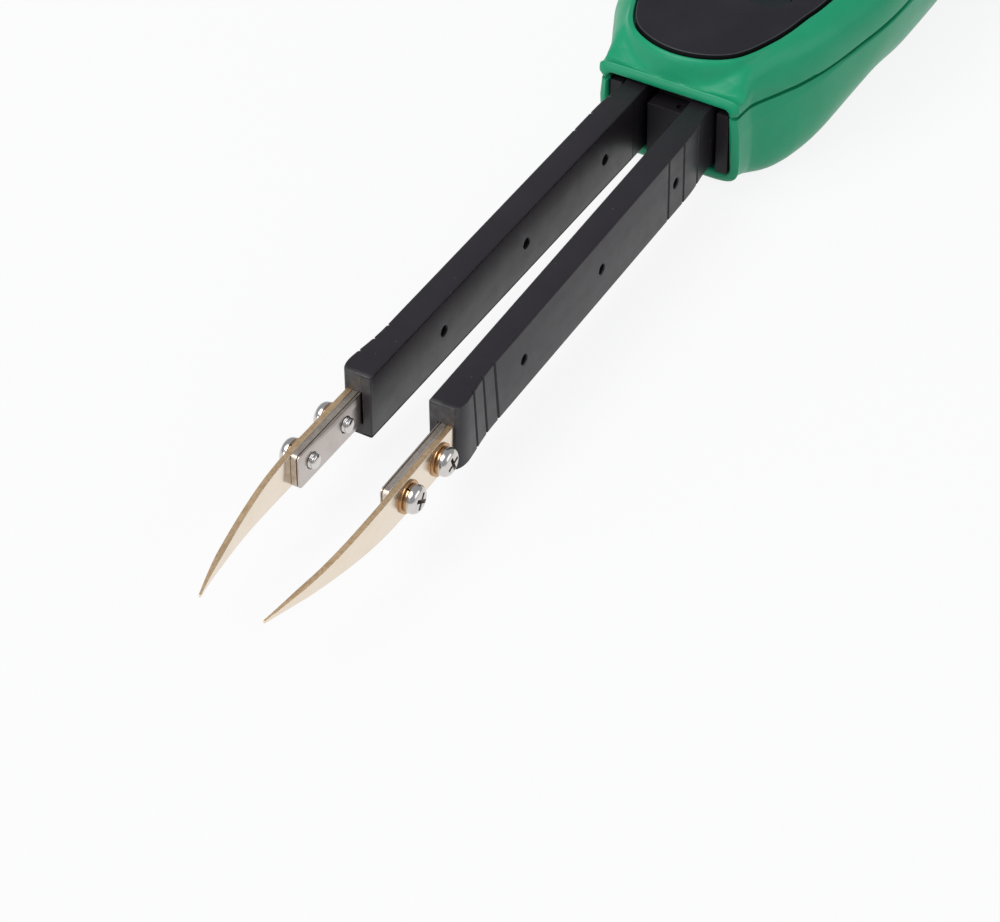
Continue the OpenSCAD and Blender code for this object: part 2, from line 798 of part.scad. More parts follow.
module cover_block(gap) {
    translate([-arm_l - gap, -1, cover_edge - gap])
        cube([
            arm_l + cover_end_x + 2 * gap, cover_t + 1 + gap, arm_h - 2 * cover_edge + 2 * gap
        ]);
}

module arm_channel_shape() {
    difference() {
        union() {
            arm_block();
            arm_eye();
        }
        cover_block(cover_fit);
        translate([-arm_l - 1, 0.2, strip_z - cover_fit])
            cube([arm_l + arm_tail_x + 2, blade_y - 0.2, strip_h + 2 * cover_fit]);
        translate([-arm_l - 1, 1, strip_z - cover_fit]) cube([
            blade_base_x + arm_l + 1.1, blade_y + blade_t + 0.02 - 1, strip_h + 2 * cover_fit
        ]);
        arm_through_holes();
        translate([pivot_x, eye_y, -1]) cylinder(r = pin_r + pin_fit, h = arm_h + 2);
        translate([spring_x, spring_inner_y - arm_gap / 2 - 0.1, spring_z]) rotate([-90, 0, 0])
            cylinder(r = spring_r + 0.15, h = 4);
        for (x = tip_groove_x)
            translate([x, curve(arm_outer_face, x + arm_l) - arm_groove_depth, -1])
                cube([arm_groove_w, 2, arm_h + 2]);
        for (x = root_groove_x)
            translate([x, curve(arm_outer_face, x + arm_l) - arm_groove_depth, -1])
                cube([arm_groove_w, 2, arm_h + 2]);
    }
}

module arm_cover_shape() {
    difference() {
        cover_block(0);
        translate([-arm_l - 1, -2, 0]) cube([arm_l + 4, 2, arm_h]);
        arm_through_holes();
    }
}

module electrode_strip_shape() {
    c = 0.5;
    front = strip_front_x;
    difference() {
        translate([0, strip_y + strip_t, 0]) rotate([90, 0, 0]) linear_extrude(strip_t) polygon([
            [front + c, strip_z], [arm_tail_x - 0.5, strip_z], [strip_tail_x, strip_z + 1.5],
            [strip_tail_x, strip_top_z - 1.5], [arm_tail_x - 0.5, strip_top_z],
            [front + c, strip_top_z], [front, strip_top_z - c], [front, strip_z + c]
        ]);
        for (x = screw_x) translate([x, 0, screw_z]) rotate([-90, 0, 0])
            cylinder(r = tip_screw_r, h = 5);
        for (x = arm_hole_x) translate([x, 0, arm_hole_z]) rotate([-90, 0, 0])
            cylinder(r = arm_hole_r + 0.15, h = 5);
    }
}

// Middle line of a blade seen from above, and its half thickness.
function blade_mid(x) =
    let (run = max(bend_x - x, 0))
    blade_y + blade_t / 2 - run * run / (2 * bend_r);
function blade_half_t(x) =
    let (near = (x + tip_reach) / 6)
    blade_t / 2 * min(1, 0.35 + 0.65 * near);
blade_stations = concat(
    [for (k = [0 : 14]) -tip_reach + (bend_x + tip_reach) * k / 14], [blade_base_x]
);
outline_stations = concat(
    [for (k = [0 : 12]) -tip_reach + (tip_reach - 73.5) * k / 12], [blade_base_x]
);

module band(stations, low, high) {
    there = [for (k = [0 : len(stations) - 1]) [stations[k], low[k]]];
    back = [for (k = [len(stations) - 1 : -1 : 0]) [stations[k], high[k]]];
    polygon(concat(there, back));
}

module tip_blade_shape() {
    low_y = [for (x = blade_stations) blade_mid(x) - blade_half_t(x)];
    high_y = [for (x = blade_stations) blade_mid(x) + blade_half_t(x)];
    low_z = [for (x = outline_stations) curve(blade_lower_edge, x)];
    high_z = [for (x = outline_stations) curve(blade_upper_edge, x)];
    difference() {
        intersection() {
            linear_extrude(arm_h) band(blade_stations, low_y, high_y);
            translate([0, 8, 0]) rotate([90, 0, 0]) linear_extrude(16)
                band(outline_stations, low_z, high_z);
        }
        for (x = screw_x) translate([x, 0, screw_z]) rotate([-90, 0, 0])
            cylinder(r = washer_hole_r, h = 5);
    }
}

// What sits on a tip screw, measured outwards from the blade's face.
module on_tip_screws() {
    for (x = screw_x) translate([x, blade_y + blade_t, screw_z]) rotate([-90, 0, 0]) children();
}

module flat_washers_shape() {
    on_tip_screws() difference() {
        cylinder(r = flat_washer_r, h = flat_washer_t);
        translate([0, 0, -1]) cylinder(r = washer_hole_r, h = 3);
    }
}

module spring_washers_shape() {
    on_tip_screws() translate([0, 0, flat_washer_t]) difference() {
        cylinder(r = spring_washer_r, h = spring_washer_t);
        translate([0, 0, -1]) cylinder(r = washer_hole_r, h = 3);
        rotate([0, 0, 35]) translate([0, -0.15, -1]) cube([3, 0.3, 3]);
    }
}

// Pan-head screws with a domed head, a cross recess and a plain end.
module tip_screws_shape() {
    seat = flat_washer_t + spring_washer_t;
    reach = blade_t + 0.02 + strip_t + screw_end;
    on_tip_screws() {
        difference() {
            translate([0, 0, seat]) rotate_extrude() polygon(concat(
                [[0, 0], [tip_head_r, 0], [tip_head_r, tip_head_side]],
                [for (a = [15 : 15 : 90]) [
                    tip_head_r - tip_head_round + tip_head_round * cos(a),
                    tip_head_side + (tip_head_h - tip_head_side) * sin(a)
                ]],
                [[0, tip_head_h]]
            ));
            for (a = [0, 90]) rotate([0, 0, a + tip_recess_turn])
                translate([-recess_l / 2, -recess_w / 2, seat + tip_head_h - tip_recess_depth])
                    cube([recess_l, recess_w, 2]);
        }
        rotate_extrude() polygon(concat(
            [[0, seat + 0.2], [0, -reach]],
            [for (a = [0 : 15 : 75]) [
                tip_screw_r * (0.4 + 0.6 * sin(a)), screw_end_round * (1 - cos(a)) - reach
            ]],
            [[tip_screw_r, screw_end_round - reach], [tip_screw_r, seat + 0.2]]
        ));
    }
}

module in_part() {
    translate([mouth_x, 0, -base_z]) children();
}

module left_side() {
    in_part() children();
}

module right_side() {
    in_part() mirror([0, 1, 0]) children();
}

module upper_shell() { color([0.17, 0.56, 0.42]) in_part() upper_shell_shape(); }
module lower_shell() { color([0.2, 0.52, 0.41]) in_part() lower_shell_shape(); }
module face_panel() { color([0.17, 0.17, 0.19]) in_part() face_panel_shape(); }
module display_window() { color([0.6, 0.65, 0.66]) in_part() display_window_shape(); }
module display_glass() { color([0.55, 0.6, 0.52]) in_part() display_glass_shape(); }
module display_contact_strips() { color([0.3, 0.3, 0.32]) in_part() display_contact_strips_shape(); }
module circuit_board() { color([0.1, 0.35, 0.2]) in_part() circuit_board_shape(); }
module board_components() { color([0.12, 0.12, 0.12]) in_part() board_components_shape(); }
module board_screws() { color([0.7, 0.7, 0.72]) in_part() board_screws_shape(); }
module left_button() { color([0.08, 0.13, 0.13]) left_side() button_shape(); }
module right_button() { color([0.08, 0.13, 0.13]) right_side() button_shape(); }
module left_button_switch() { color([0.25, 0.25, 0.27]) left_side() button_switch_shape(); }
module right_button_switch() { color([0.25, 0.25, 0.27]) right_side() button_switch_shape(); }
module battery_holder() { color([0.15, 0.15, 0.16]) in_part() battery_holder_shape(); }
module coin_cell() { color([0.78, 0.78, 0.78]) in_part() coin_cell_shape(); }
module battery_contact_clip() { color([0.8, 0.78, 0.7]) in_part() battery_contact_clip_shape(); }
module battery_contact_spring() { color([0.8, 0.78, 0.7]) in_part() battery_contact_spring_shape(); }
module battery_door() { color([0.2, 0.52, 0.41]) in_part() battery_door_shape(); }
module case_screws() { color([0.6, 0.6, 0.62]) in_part() case_screws_shape(); }
module arm_yoke() { color([0.1, 0.1, 0.11]) in_part() arm_yoke_shape(); }
module left_pivot_pin() { color([0.7, 0.7, 0.72]) left_side() pivot_pin_shape(); }
module right_pivot_pin() { color([0.7, 0.7, 0.72]) right_side() pivot_pin_shape(); }
module left_return_spring() { color([0.65, 0.65, 0.67]) left_side() return_spring_shape(); }
module right_return_spring() { color([0.65, 0.65, 0.67]) right_side() return_spring_shape(); }
module left_arm_channel() { color([0.2, 0.19, 0.21]) left_side() arm_place() arm_channel_shape(); }
module right_arm_channel() { color([0.2, 0.19, 0.21]) right_side() arm_place() arm_channel_shape(); }
module left_arm_cover() { color([0.22, 0.21, 0.23]) left_side() arm_place() arm_cover_shape(); }
module right_arm_cover() { color([0.22, 0.21, 0.23]) right_side() arm_place() arm_cover_shape(); }
module left_electrode_strip() { color([0.75, 0.74, 0.73]) left_side() arm_place() electrode_strip_shape(); }
module right_electrode_strip() { color([0.75, 0.74, 0.73]) right_side() arm_place() electrode_strip_shape(); }
module left_tip_blade() { color([0.82, 0.7, 0.5]) left_side() arm_place() tip_blade_shape(); }
module right_tip_blade() { color([0.82, 0.7, 0.5]) right_side() arm_place() tip_blade_shape(); }
module left_tip_screws() { color([0.75, 0.75, 0.77]) left_side() arm_place() tip_screws_shape(); }
module right_tip_screws() { color([0.75, 0.75, 0.77]) right_side() arm_place() tip_screws_shape(); }
module left_spring_washers() { color([0.8, 0.62, 0.35]) left_side() arm_place() spring_washers_shape(); }
module right_spring_washers() { color([0.8, 0.62, 0.35]) right_side() arm_place() spring_washers_shape(); }
module left_flat_washers() { color([0.8, 0.62, 0.35]) left_side() arm_place() flat_washers_shape(); }
module right_flat_washers() { color([0.8, 0.62, 0.35]) right_side() arm_place() flat_washers_shape(); }
module left_signal_lead() { color([0.75, 0.1, 0.1]) left_side() arm_place() signal_lead_shape(); }
module right_signal_lead() { color([0.1, 0.1, 0.1]) right_side() arm_place() signal_lead_shape(); }

upper_shell();
lower_shell();
face_panel();
display_window();
display_glass();
display_contact_strips();
circuit_board();
board_components();
board_screws();
left_button();
right_button();
left_button_switch();
right_button_switch();
battery_holder();
coin_cell();
battery_contact_clip();
battery_contact_spring();
battery_door();
case_screws();
arm_yoke();
left_pivot_pin();
right_pivot_pin();
left_return_spring();
right_return_spring();
left_arm_channel();
right_arm_channel();
left_arm_cover();
right_arm_cover();
left_electrode_strip();
right_electrode_strip();
left_tip_blade();
right_tip_blade();
left_tip_screws();
right_tip_screws();
left_spring_washers();
right_spring_washers();
left_flat_washers();
right_flat_washers();
left_signal_lead();
right_signal_lead();
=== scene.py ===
"""The dressed model of the measuring tweezers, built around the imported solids.

Shapes are worked out in millimetres in the frame of the case's mouth, where x = 0 is the
mouth, y = 0 the middle plane and z = 0 the underside of the arms, and then moved to the
part's frame in metres.
"""
import math

import bpy
import numpy as np
from mathutils import Matrix, Vector

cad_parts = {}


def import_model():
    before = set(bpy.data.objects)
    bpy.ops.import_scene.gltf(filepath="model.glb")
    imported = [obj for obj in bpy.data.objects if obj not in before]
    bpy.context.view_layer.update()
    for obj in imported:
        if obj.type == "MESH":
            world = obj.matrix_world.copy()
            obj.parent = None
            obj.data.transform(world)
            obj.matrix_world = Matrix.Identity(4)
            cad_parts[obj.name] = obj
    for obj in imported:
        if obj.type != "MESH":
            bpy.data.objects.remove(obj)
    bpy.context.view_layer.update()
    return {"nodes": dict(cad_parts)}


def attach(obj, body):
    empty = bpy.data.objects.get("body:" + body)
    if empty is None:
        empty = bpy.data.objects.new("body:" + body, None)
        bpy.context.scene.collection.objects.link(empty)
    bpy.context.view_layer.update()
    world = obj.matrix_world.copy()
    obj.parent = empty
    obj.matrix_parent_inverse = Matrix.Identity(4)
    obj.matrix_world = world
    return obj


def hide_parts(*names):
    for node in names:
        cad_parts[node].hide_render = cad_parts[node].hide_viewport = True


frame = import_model()

MM = 0.001
MOUTH = np.array([10.5, 0.0, 4.8])

# Driving sizes, as in the part's own source.
CASE_L = 80.0
CASE_WALL = 1.7
HALF_W = 17.5
PANEL_Z = 15.2
RIM_Z = 14.75
BASE_Z = -4.8
PARTING_Z = 8.9
SEAM_W = 0.58
SEAM_TOP = 0.1
FRONT_X = 0.9
FRONT_LEAN = 0.09
FRONT_LEAN_L = 8.0
REAR_GAP = 0.02
CEILING_Z = 11.9
FLOOR_SLAB_Z = -0.9
MOUTH_HALF_W = 8.6
MOUTH_LOW_Z = -0.6
MOUTH_HIGH_Z = 9.7
MOUTH_DEPTH = 9.0
MOUTH_CORNER_R = 0.7
LIP_IN = 0.9
YOKE_LOW_Z = -1.6
YOKE_STEP_X = (6.7, 7.6)
YOKE_PLATE_X = (7.5, 17)
YOKE_PLATE_HALF_W = 9.5

TIP_REACH = 101.0
ARM_L = 64.8
ARM_H = 9.3
ARM_T = 3.5
ARM_BULGE = 0.6
ARM_GAP = 6.3
ARM_SPREAD = math.radians(0.68)
ARM_TAIL_X = 16.0
PIVOT_X = 11.0
EYE_Y = 4.1
EYE_R = 1.9
PIVOT_Y = ARM_GAP / 2 + EYE_Y - PIVOT_X * math.sin(ARM_SPREAD)
PIN_HOLE_R = 1.04
SPRING_X = 14.4
SPRING_Z = 4.6
SPRING_HOLE_R = 1.1
COVER_T = 1.25
COVER_EDGE = 0.25
COVER_END_X = -2.0
HOLE_X = (-9.2, -28.8, -48.3)
HOLE_Z = ARM_H / 2
HOLE_R = 0.7
TIP_GROOVE_X = (-61.05, -58.3, -55.4)
TIP_GROOVE_LEAN = 0.9
ROOT_GROOVE_X = (-11.15, -7.05, -2.85)

STRIP_Y = 1.35
STRIP_T = 1.12
STRIP_H = 4.8
STRIP_Z = 4.15 - STRIP_H / 2
STRIP_TOP_Z = STRIP_Z + STRIP_H
STRIP_FRONT_X = -ARM_L - 13.5
STRIP_TAIL_X = 16.6
STRIP_CORNER_R = 0.6
STRIP_SPLIT = 0.3
STRIP_EDGE = 0.06
BLADE_T = 0.8
BLADE_Y = STRIP_Y + STRIP_T + 0.02
BLADE_BASE_X = -ARM_L + 2.5
BEND_X = -ARM_L - 12.7
BEND_R = 91.0
TIP_ROUND = 0.12
TIP_THINNING = (0.35, 6.0)
SCREW_X = (-ARM_L - 3.3, -ARM_L - 3.3 - 7.3)
SCREW_Z = STRIP_Z + STRIP_H / 2
SCREW_R = 0.95
HEAD_R = 1.8
HEAD_H = 1.15
HEAD_SIDE = 0.3
HEAD_ROUND = 0.85
CROSS_HALF_L = 1.32
CROSS_HALF_W = 0.38
FLAT_WASHER_R = 2.1
FLAT_WASHER_T = 0.3
SPRING_WASHER_R = 1.75
SPRING_WASHER_T = 0.4
HEAD_SEAT = FLAT_WASHER_T + SPRING_WASHER_T
WASHER_EDGE = 0.06
WASHER_GAP_AT = 0.6
WASHER_HOLE_R = 1.02
SCREW_END = 0.8

BUTTON_X = 19.7
BUTTON_Y = 4.9
BUTTON_HOLE_R = 3.07
BUTTON_LOW_Z = 11.15
BUTTON_TOP_Z = 14.4
CAP_FIT = 0.27
CAP_EDGE = 0.3
DISH_R = 8.0
DISH_DEPTH = 0.4
PANEL_T = 1.5
PANEL_NOSE_X = 2.6
PANEL_NOSE_L = 13.0
PANEL_NOSE_HALF_W = 11.6
PANEL_TAIL_X = 71.0
PANEL_TAIL_L = 16.0
PANEL_SHARE = 0.75
PANEL_GAP = 0.3
WINDOW_X = 31.0
WINDOW_L = 27.0
WINDOW_W = 18.0
WINDOW_CORNER_R = 1.2
DIGIT_H = 9.0
DIGIT_W = 4.2
DIGIT_BAR = 0.95
DIGIT_GAP = 0.12
DIGIT_PITCH = 5.9
DIGIT_SLANT = 0.12
POINT_R = 0.5

DOOR_X = 40.0
DOOR_HALF_W = 10.0
DOOR_TOP_Z = -2.4
DOOR_GAP = 0.2
TONGUE_T = 0.6
TONGUE_W = 0.85
GRIP_X = 4.35
GRIP_PITCH = 1.4
GRIP_HALF_W = 0.36
GRIP_HALF_L = 5.0
LIP_END_X = 58.0
CELL_X = 54.0
CELL_R = 10.0
CASE_SCREWS = ((18.5, 11.2), (70.0, 7.0))
CASE_SCREW_SEAT_Z = -1.2
CASE_HEAD_R = 1.9
CASE_HOLE_R = 1.1
BOSS_R = 2.3

PLAN = [
    (FRONT_X, 9.6), (1.3, 9.95), (1.8, 9.96), (3.2, 10.04), (4.5, 10.16), (5.2, 10.4),
    (6.2, 10.85), (8, 11.75), (10, 12.7), (12, 13.6), (16.5, 15), (22.5, HALF_W - 1.35),
    (30, HALF_W - 0.25), (38, HALF_W), (CASE_L, HALF_W),
]
RISE = [
    (FRONT_X, 1.95), (1.3, 2.36), (1.9, 2.22), (2.5, 2.3), (3.4, 3.05), (4.6, 4.6), (5.8, 5.95),
    (7, 6.65), (9, 7.05), (14, 7.15), (CASE_L, 7.15),
]
DROP = [
    (FRONT_X, 10.95), (1.3, 11.25), (2.2, 11.15), (2.9, 11.4), (4.5, 12.05), (6, 12.6),
    (8, 13.3), (10, 13.9), (15, 14.3), (22, 13.9), (29, 13.5), (37, 14), (45, 14.2), (CASE_L, 14.2),
]
ROUND_BELOW = [
    (FRONT_X, 9), (6, 7), (12, 5), (18, 3.9), (24, 3.1), (30, 2.65), (38, 2.8), (CASE_L, 2.5),
]
ROUND_ABOVE = [
    (FRONT_X, 9), (2.2, 7.5), (4, 4.6), (5.8, 3.2), (7.5, 2.85), (12, 3.1), (CASE_L, 3.15),
]
# The nose round the face panel: its height at a distance outside the panel, first behind the
# mouth's collar, where it is steep, and then further back, where it has a wider foot.
NOSE_STEEP = (
    (-9, RIM_Z), (0, RIM_Z), (0.28, 14.69), (0.54, 14.5), (0.72, 14.2), (0.86, 13.8),
    (0.97, 13.3), (1.06, 12.7), (1.12, 12.1), (1.18, 11.6), (1.28, 11), (1.6, 10.2), (2.2, 9.2), (4, 6),
)
NOSE_WIDE = (
    (-9, RIM_Z), (0, RIM_Z), (0.28, 14.68), (0.5, 14.48), (0.66, 14.2), (0.78, 13.8),
    (0.88, 13.3), (0.98, 12.75), (1.1, 12.25), (1.26, 11.85), (1.5, 11.5), (1.9, 11.05), (2.6, 10), (4, 6),
)
NOSE_WIDE_X = (1.25, 1.8)
NOSE_FADE_X = 4.0
NOSE_END_X = 14.5
COVE = 0.35
COVE_SIDE = 4.2
ARM_OUTER = [
    (0, ARM_T + 0.05), (0.5, ARM_T + 0.35), (1.2, ARM_T + 0.55), (2.1, ARM_T + ARM_BULGE),
    (3.2, ARM_T + 0.5), (4.3, ARM_T + 0.38), (5.6, ARM_T + 0.22), (7, ARM_T + 0.09),
    (9, ARM_T), (12, ARM_T), (ARM_L - 8, ARM_T), (ARM_L - 4.5, ARM_T - 0.05), (ARM_L - 1, ARM_T - 0.4),
    (ARM_L + 0.5, ARM_T - 0.5), (ARM_L + 2.5, ARM_T - 0.35), (ARM_L + 5, ARM_T), (ARM_L + 9, ARM_T),
]
BLADE_UPPER = [
    (-TIP_REACH, 4.35), (-97, 4.8), (-92, 5.2), (-87.5, 5.7), (-83, 6.2), (-78, 6.5),
    (-73.5, STRIP_TOP_Z), (0, STRIP_TOP_Z),
]
BLADE_LOWER = [
    (-TIP_REACH, 4.05), (-97, 3.75), (-92, 3.15), (-87.5, 2.6), (-83, 2.1), (-78, 1.8),
    (-73.5, STRIP_Z), (0, STRIP_Z),
]

RIM_ROUND = 0.55
SEAM_ROUND = 0.24
PANEL_EDGE_ROUND = 0.12
END_ROUND = 0.16
INNER_END_ROUND = 0.22
ARM_EDGE_ROUND = 0.22
SLIDE_FIT = 0.05

FLOOR_TONE = 0.78
WHITE_SHARE = 0.88
ROOM_COLOUR = (0.93, 0.95, 1.0, 1)
ROOM_STRENGTH = 0.42
LIGHT_AIM = (0.0, 0.0, 0.01)

# The photograph's viewpoint: angles in degrees, aim and distance in tenths of the arm's height.
VIEW_TURN = -59.79
VIEW_RISE = 41.31
VIEW_ROLL = -0.55
VIEW_DISTANCE = 500
VIEW_AIM = (-65.46, -11.92, 0)
VIEW_LENS = 143.65


# Curves and sections

def soft_max(a, b, width):
    """The greater of two heights, with a hollow of about that width where they cross."""
    near = np.clip(width - np.abs(a - b), 0, None)
    return np.maximum(a, b) + near**2 / (4 * width)


def curve(pairs, x):
    """Value at x of the smooth curve through (x, value) pairs."""
    i = 0
    while i < len(pairs) - 2 and x >= pairs[i + 1][0]:
        i += 1

    def slope(k):
        a, b = max(k - 1, 0), min(k + 1, len(pairs) - 1)
        return (pairs[b][1] - pairs[a][1]) / (pairs[b][0] - pairs[a][0])

    span = pairs[i + 1][0] - pairs[i][0]
    t = min(max((x - pairs[i][0]) / span, 0.0), 1.0)
    return (
        (2 * t**3 - 3 * t**2 + 1) * pairs[i][1]
        + (t**3 - 2 * t**2 + t) * span * slope(i)
        + (3 * t**2 - 2 * t**3) * pairs[i + 1][1]
        + (t**3 - t**2) * span * slope(i + 1)
    )


def rear_fall(x, start, n):
    """Fall of the case towards its rear end: 1 in front of start, 0 past the end."""
    if x <= start:
        return 1.0
    return (1 - ((x - start) / (CASE_L + REAR_GAP - start)) ** n) ** (1 / n)


def plan(x):
    return curve(PLAN, x) * rear_fall(x, CASE_L - 28, 2.4)


def rise(x):
    return curve(RISE, x) * rear_fall(x, CASE_L - 30, 3)


def drop(x):
    return curve(DROP, x) * rear_fall(x, CASE_L - 24, 2.6)


def quarter(depth, radius):
    """How far a rounded edge has drawn in at a depth from its end: radius at 0, none after it."""
    k = np.clip(radius - depth, 0, radius)
    return radius - np.sqrt(radius**2 - k**2)


def arc(steps, first=1):
    """Sine and one less cosine at even steps of a quarter turn, with or without its start."""
    turns = [math.radians(90 * k / steps) for k in range(first, steps + 1)]
    return [(math.sin(a), 1 - math.cos(a)) for a in turns]


def spaced(points, count, closed=False):
    """The same line as count points at even distances."""
    if closed:
        points = np.vstack([points, points[:1]])
    run = np.concatenate([[0], np.cumsum(np.linalg.norm(np.diff(points, axis=0), axis=1))])
    at = np.linspace(0, run[-1], count + 1 if closed else count)
    out = np.stack([np.interp(at, run, points[:, k]) for k in range(points.shape[1])], 1)
    return out[:-1] if closed else out


def soft_limit(z, limit, width):
    """z kept under a limit, with a rounded change instead of a crease."""
    over = z - limit
    return np.where(
        over > width, limit, np.where(over < -width, z, z - (over + width) ** 2 / (4 * width))
    )


def nose_height(x, y):
    """Height of the nose over points across the case at x, from their distance to the panel."""
    line = NOSE_LINE[NOSE_LINE[:, 0] < x + 6]
    away = np.hypot(line[:, 0, None] - x, line[:, 1, None] - np.abs(y)[None, :]).min(axis=0)
    inside = np.abs(y) < np.interp(x, NOSE_LINE[:, 0], NOSE_LINE[:, 1], left=-1.0)
    t = min(max((x - NOSE_FADE_X) / (NOSE_END_X - NOSE_FADE_X), 0.0), 1.0)
    away = np.where(inside, 0.0, away) + t * t * (3 - 2 * t)
    share = min(max((x - NOSE_WIDE_X[0]) / (NOSE_WIDE_X[1] - NOSE_WIDE_X[0]), 0.0), 1.0)
    steep, wide = (np.interp(away, NOSE_DEPTH, top) for top in NOSE_TOPS)
    return steep * (1 - share) + wide * share


def super_ellipse(t, w, h, n):
    """y and z of a superellipse of half width w and half height h at the angles t."""
    c, s = np.cos(t), np.sin(t)
    return w * np.sign(c) * np.abs(c) ** (2 / n), h * np.sign(s) * np.abs(s) ** (2 / n)


def leaning(x, z):
    """x of a section's points, whose lower part lies further back at the mouth."""
    return x + FRONT_LEAN * max(1 - x / FRONT_LEAN_L, 0) * np.maximum(PARTING_Z - z, 0)


def at_x(x, ring):
    """(y, z) points set in the plane at x."""
    return np.column_stack([np.full(len(ring), x), ring])


def at_z(outline, z):
    """(x, y) points set in the plane at z."""
    return np.column_stack([outline, np.full(len(outline), z)])


def half_section(x, inset, upper, count, seam_z, seam_round):
    """Outer line of one half of the case at x, from its +Y seam edge to its -Y seam edge."""
    w = plan(x) - inset
    h = max((rise(x) if upper else drop(x)) - inset, 0.4)
    n = curve(ROUND_ABOVE if upper else ROUND_BELOW, x)
    y, z = super_ellipse(np.linspace(0, math.pi, 721), w, h, n)
    if upper:
        z = soft_limit(PARTING_Z + z, RIM_Z - inset, 0.25)
        keep = z > seam_z
        edge = z - seam_z
    else:
        z = -soft_limit(-(PARTING_Z - z), -(BASE_Z + inset), 0.25)
        keep = z < seam_z
        edge = seam_z - z
    y, z, edge = y[keep], z[keep], edge[keep]
    y = y - np.sign(y) * quarter(edge, seam_round)
    ends = np.array([[w - seam_round, seam_z], [seam_round - w, seam_z]])
    if seam_round > w:
        ends[:, 0] = [0.01, -0.01]
    line = np.vstack([ends[:1], np.stack([y, z], 1), ends[1:]])
    line = spaced(line, count)
    if upper and x < NOSE_END_X:
        beside = np.clip((np.abs(line[:, 0]) - 3.0) / 6, 0, 1) * min(max((x - 1.4) / 2, 0), 1)
        raised = soft_max(line[:, 1], nose_height(x, line[:, 0]), COVE + COVE_SIDE * beside)
        line[1:-1, 1] = soft_limit(raised, RIM_Z, 0.1)[1:-1]
    return np.column_stack([leaning(x, line[:, 1]), line])


def case_stations():
    """Places of the sections along the case, close where its form changes fast."""
    front = [FRONT_X + RIM_ROUND * (1 - math.cos(a)) for a in np.linspace(0, math.pi / 2, 8)]
    neck = np.concatenate([np.arange(1.49, 3.4, 0.05), np.arange(3.45, 7.0, 0.08)])
    body = np.concatenate([np.arange(7.05, 16, 0.3), np.arange(16.2, 52, 0.9)])
    rear = 52 + (CASE_L - 52) * np.sin(np.linspace(0.02, math.pi / 2, 46))
    return np.concatenate([front, neck, body, rear])


def panel_half_w(x, inset):
    nose = (PANEL_NOSE_X + PANEL_NOSE_L - x) / (PANEL_NOSE_L - inset)
    tail = (x - PANEL_TAIL_X + PANEL_TAIL_L) / (PANEL_TAIL_L - inset)
    side = PANEL_SHARE * plan(x) - inset
    if tail > 0:
        return side * math.sqrt(max(1 - tail * tail, 0))
    round_w = PANEL_NOSE_HALF_W - inset
    round_w = round_w * math.sqrt(max(1 - nose * nose, 0)) if nose > 0 else round_w + 12 * nose * nose
    return -float(soft_max(-round_w, -side, 1.4))


def panel_outline(inset):
    """Outline of the face panel, drawn in by an inset."""
    nose_end, tail_start = PANEL_NOSE_X + PANEL_NOSE_L, PANEL_TAIL_X - PANEL_TAIL_L
    nose = [nose_end - (PANEL_NOSE_L - inset) * math.cos(a) for a in np.linspace(0, math.pi / 2, 64)]
    middle = list(np.linspace(nose_end, tail_start, 120)[1:-1])
    tail = [tail_start + (PANEL_TAIL_L - inset) * math.sin(a) for a in np.linspace(0, math.pi / 2, 40)]
    side = np.array([(x, panel_half_w(x, inset)) for x in nose + middle + tail])
    side[0, 1] = side[-1, 1] = 0
    return np.vstack([side, (side[1:-1] * np.array([1, -1]))[::-1]])


NOSE_DEPTH = np.linspace(-1, 4, 800)
NOSE_TOPS = [np.array([curve(line, d) for d in NOSE_DEPTH]) for line in (NOSE_STEEP, NOSE_WIDE)]
NOSE_X = PANEL_NOSE_X + 14 * (1 - np.cos(np.linspace(0, math.pi / 2, 500)))
NOSE_LINE = np.array([(x, panel_half_w(x, 0)) for x in NOSE_X])


# Meshes

def loft(rings, endless=False):
    """Vertices and faces of a tube through rings of as many points each: closed, or endless."""
    verts = np.vstack([np.asarray(r, float) for r in rings])
    n, total = len(rings[0]), len(verts)
    faces = []
    for i in range(0, total if endless else total - n, n):
        for j in range(n):
            a, b = i + j, i + (j + 1) % n
            faces.append((a, (a + n) % total, (b + n) % total, b))
    if not endless:
        faces += [tuple(range(n)), tuple(total - 1 - j for j in range(n))]
    return verts, faces


def to_part(points):
    return (np.asarray(points, float) + MOUTH) * MM


def placed(name, data):
    """A new object in the scene."""
    obj = bpy.data.objects.new(name, data)
    bpy.context.scene.collection.objects.link(obj)
    return obj


def make(name, shape, place=None, flip=False):
    """A mesh object from vertices in the mouth's frame."""
    verts, faces = shape
    if place is not None:
        verts = place(verts)
    if flip:
        verts = verts * np.array([1, -1, 1])
    mesh = bpy.data.meshes.new(name)
    mesh.from_pydata(to_part(verts).tolist(), [], faces)
    mesh.update()
    if volume(mesh) < 0:
        mesh.flip_normals()
    return placed(name, mesh)


def volume(mesh):
    mesh.calc_loop_triangles()
    co = np.array([v.co for v in mesh.vertices])
    tri = np.array([t.vertices for t in mesh.loop_triangles])
    a, b, c = co[tri[:, 0]], co[tri[:, 1]], co[tri[:, 2]]
    return float(np.einsum("ij,ij->i", a, np.cross(b, c)).sum() / 6)


def cut(obj, *others, operation="DIFFERENCE"):
    """obj with the others, objects or bare shapes, cut away or added; the others are used up."""
    for other in others:
        if isinstance(other, tuple):
            other = make("cutter", other)
        modifier = obj.modifiers.new("cut", "BOOLEAN")
        modifier.operation = operation
        modifier.solver = "MANIFOLD"
        modifier.object = other
        bpy.context.view_layer.update()
        evaluated = obj.evaluated_get(bpy.context.evaluated_depsgraph_get())
        mesh = bpy.data.meshes.new_from_object(evaluated)
        obj.modifiers.clear()
        old = obj.data
        obj.data = mesh
        bpy.data.meshes.remove(old)
        data = other.data
        bpy.data.objects.remove(other)
        bpy.data.meshes.remove(data)
    return obj


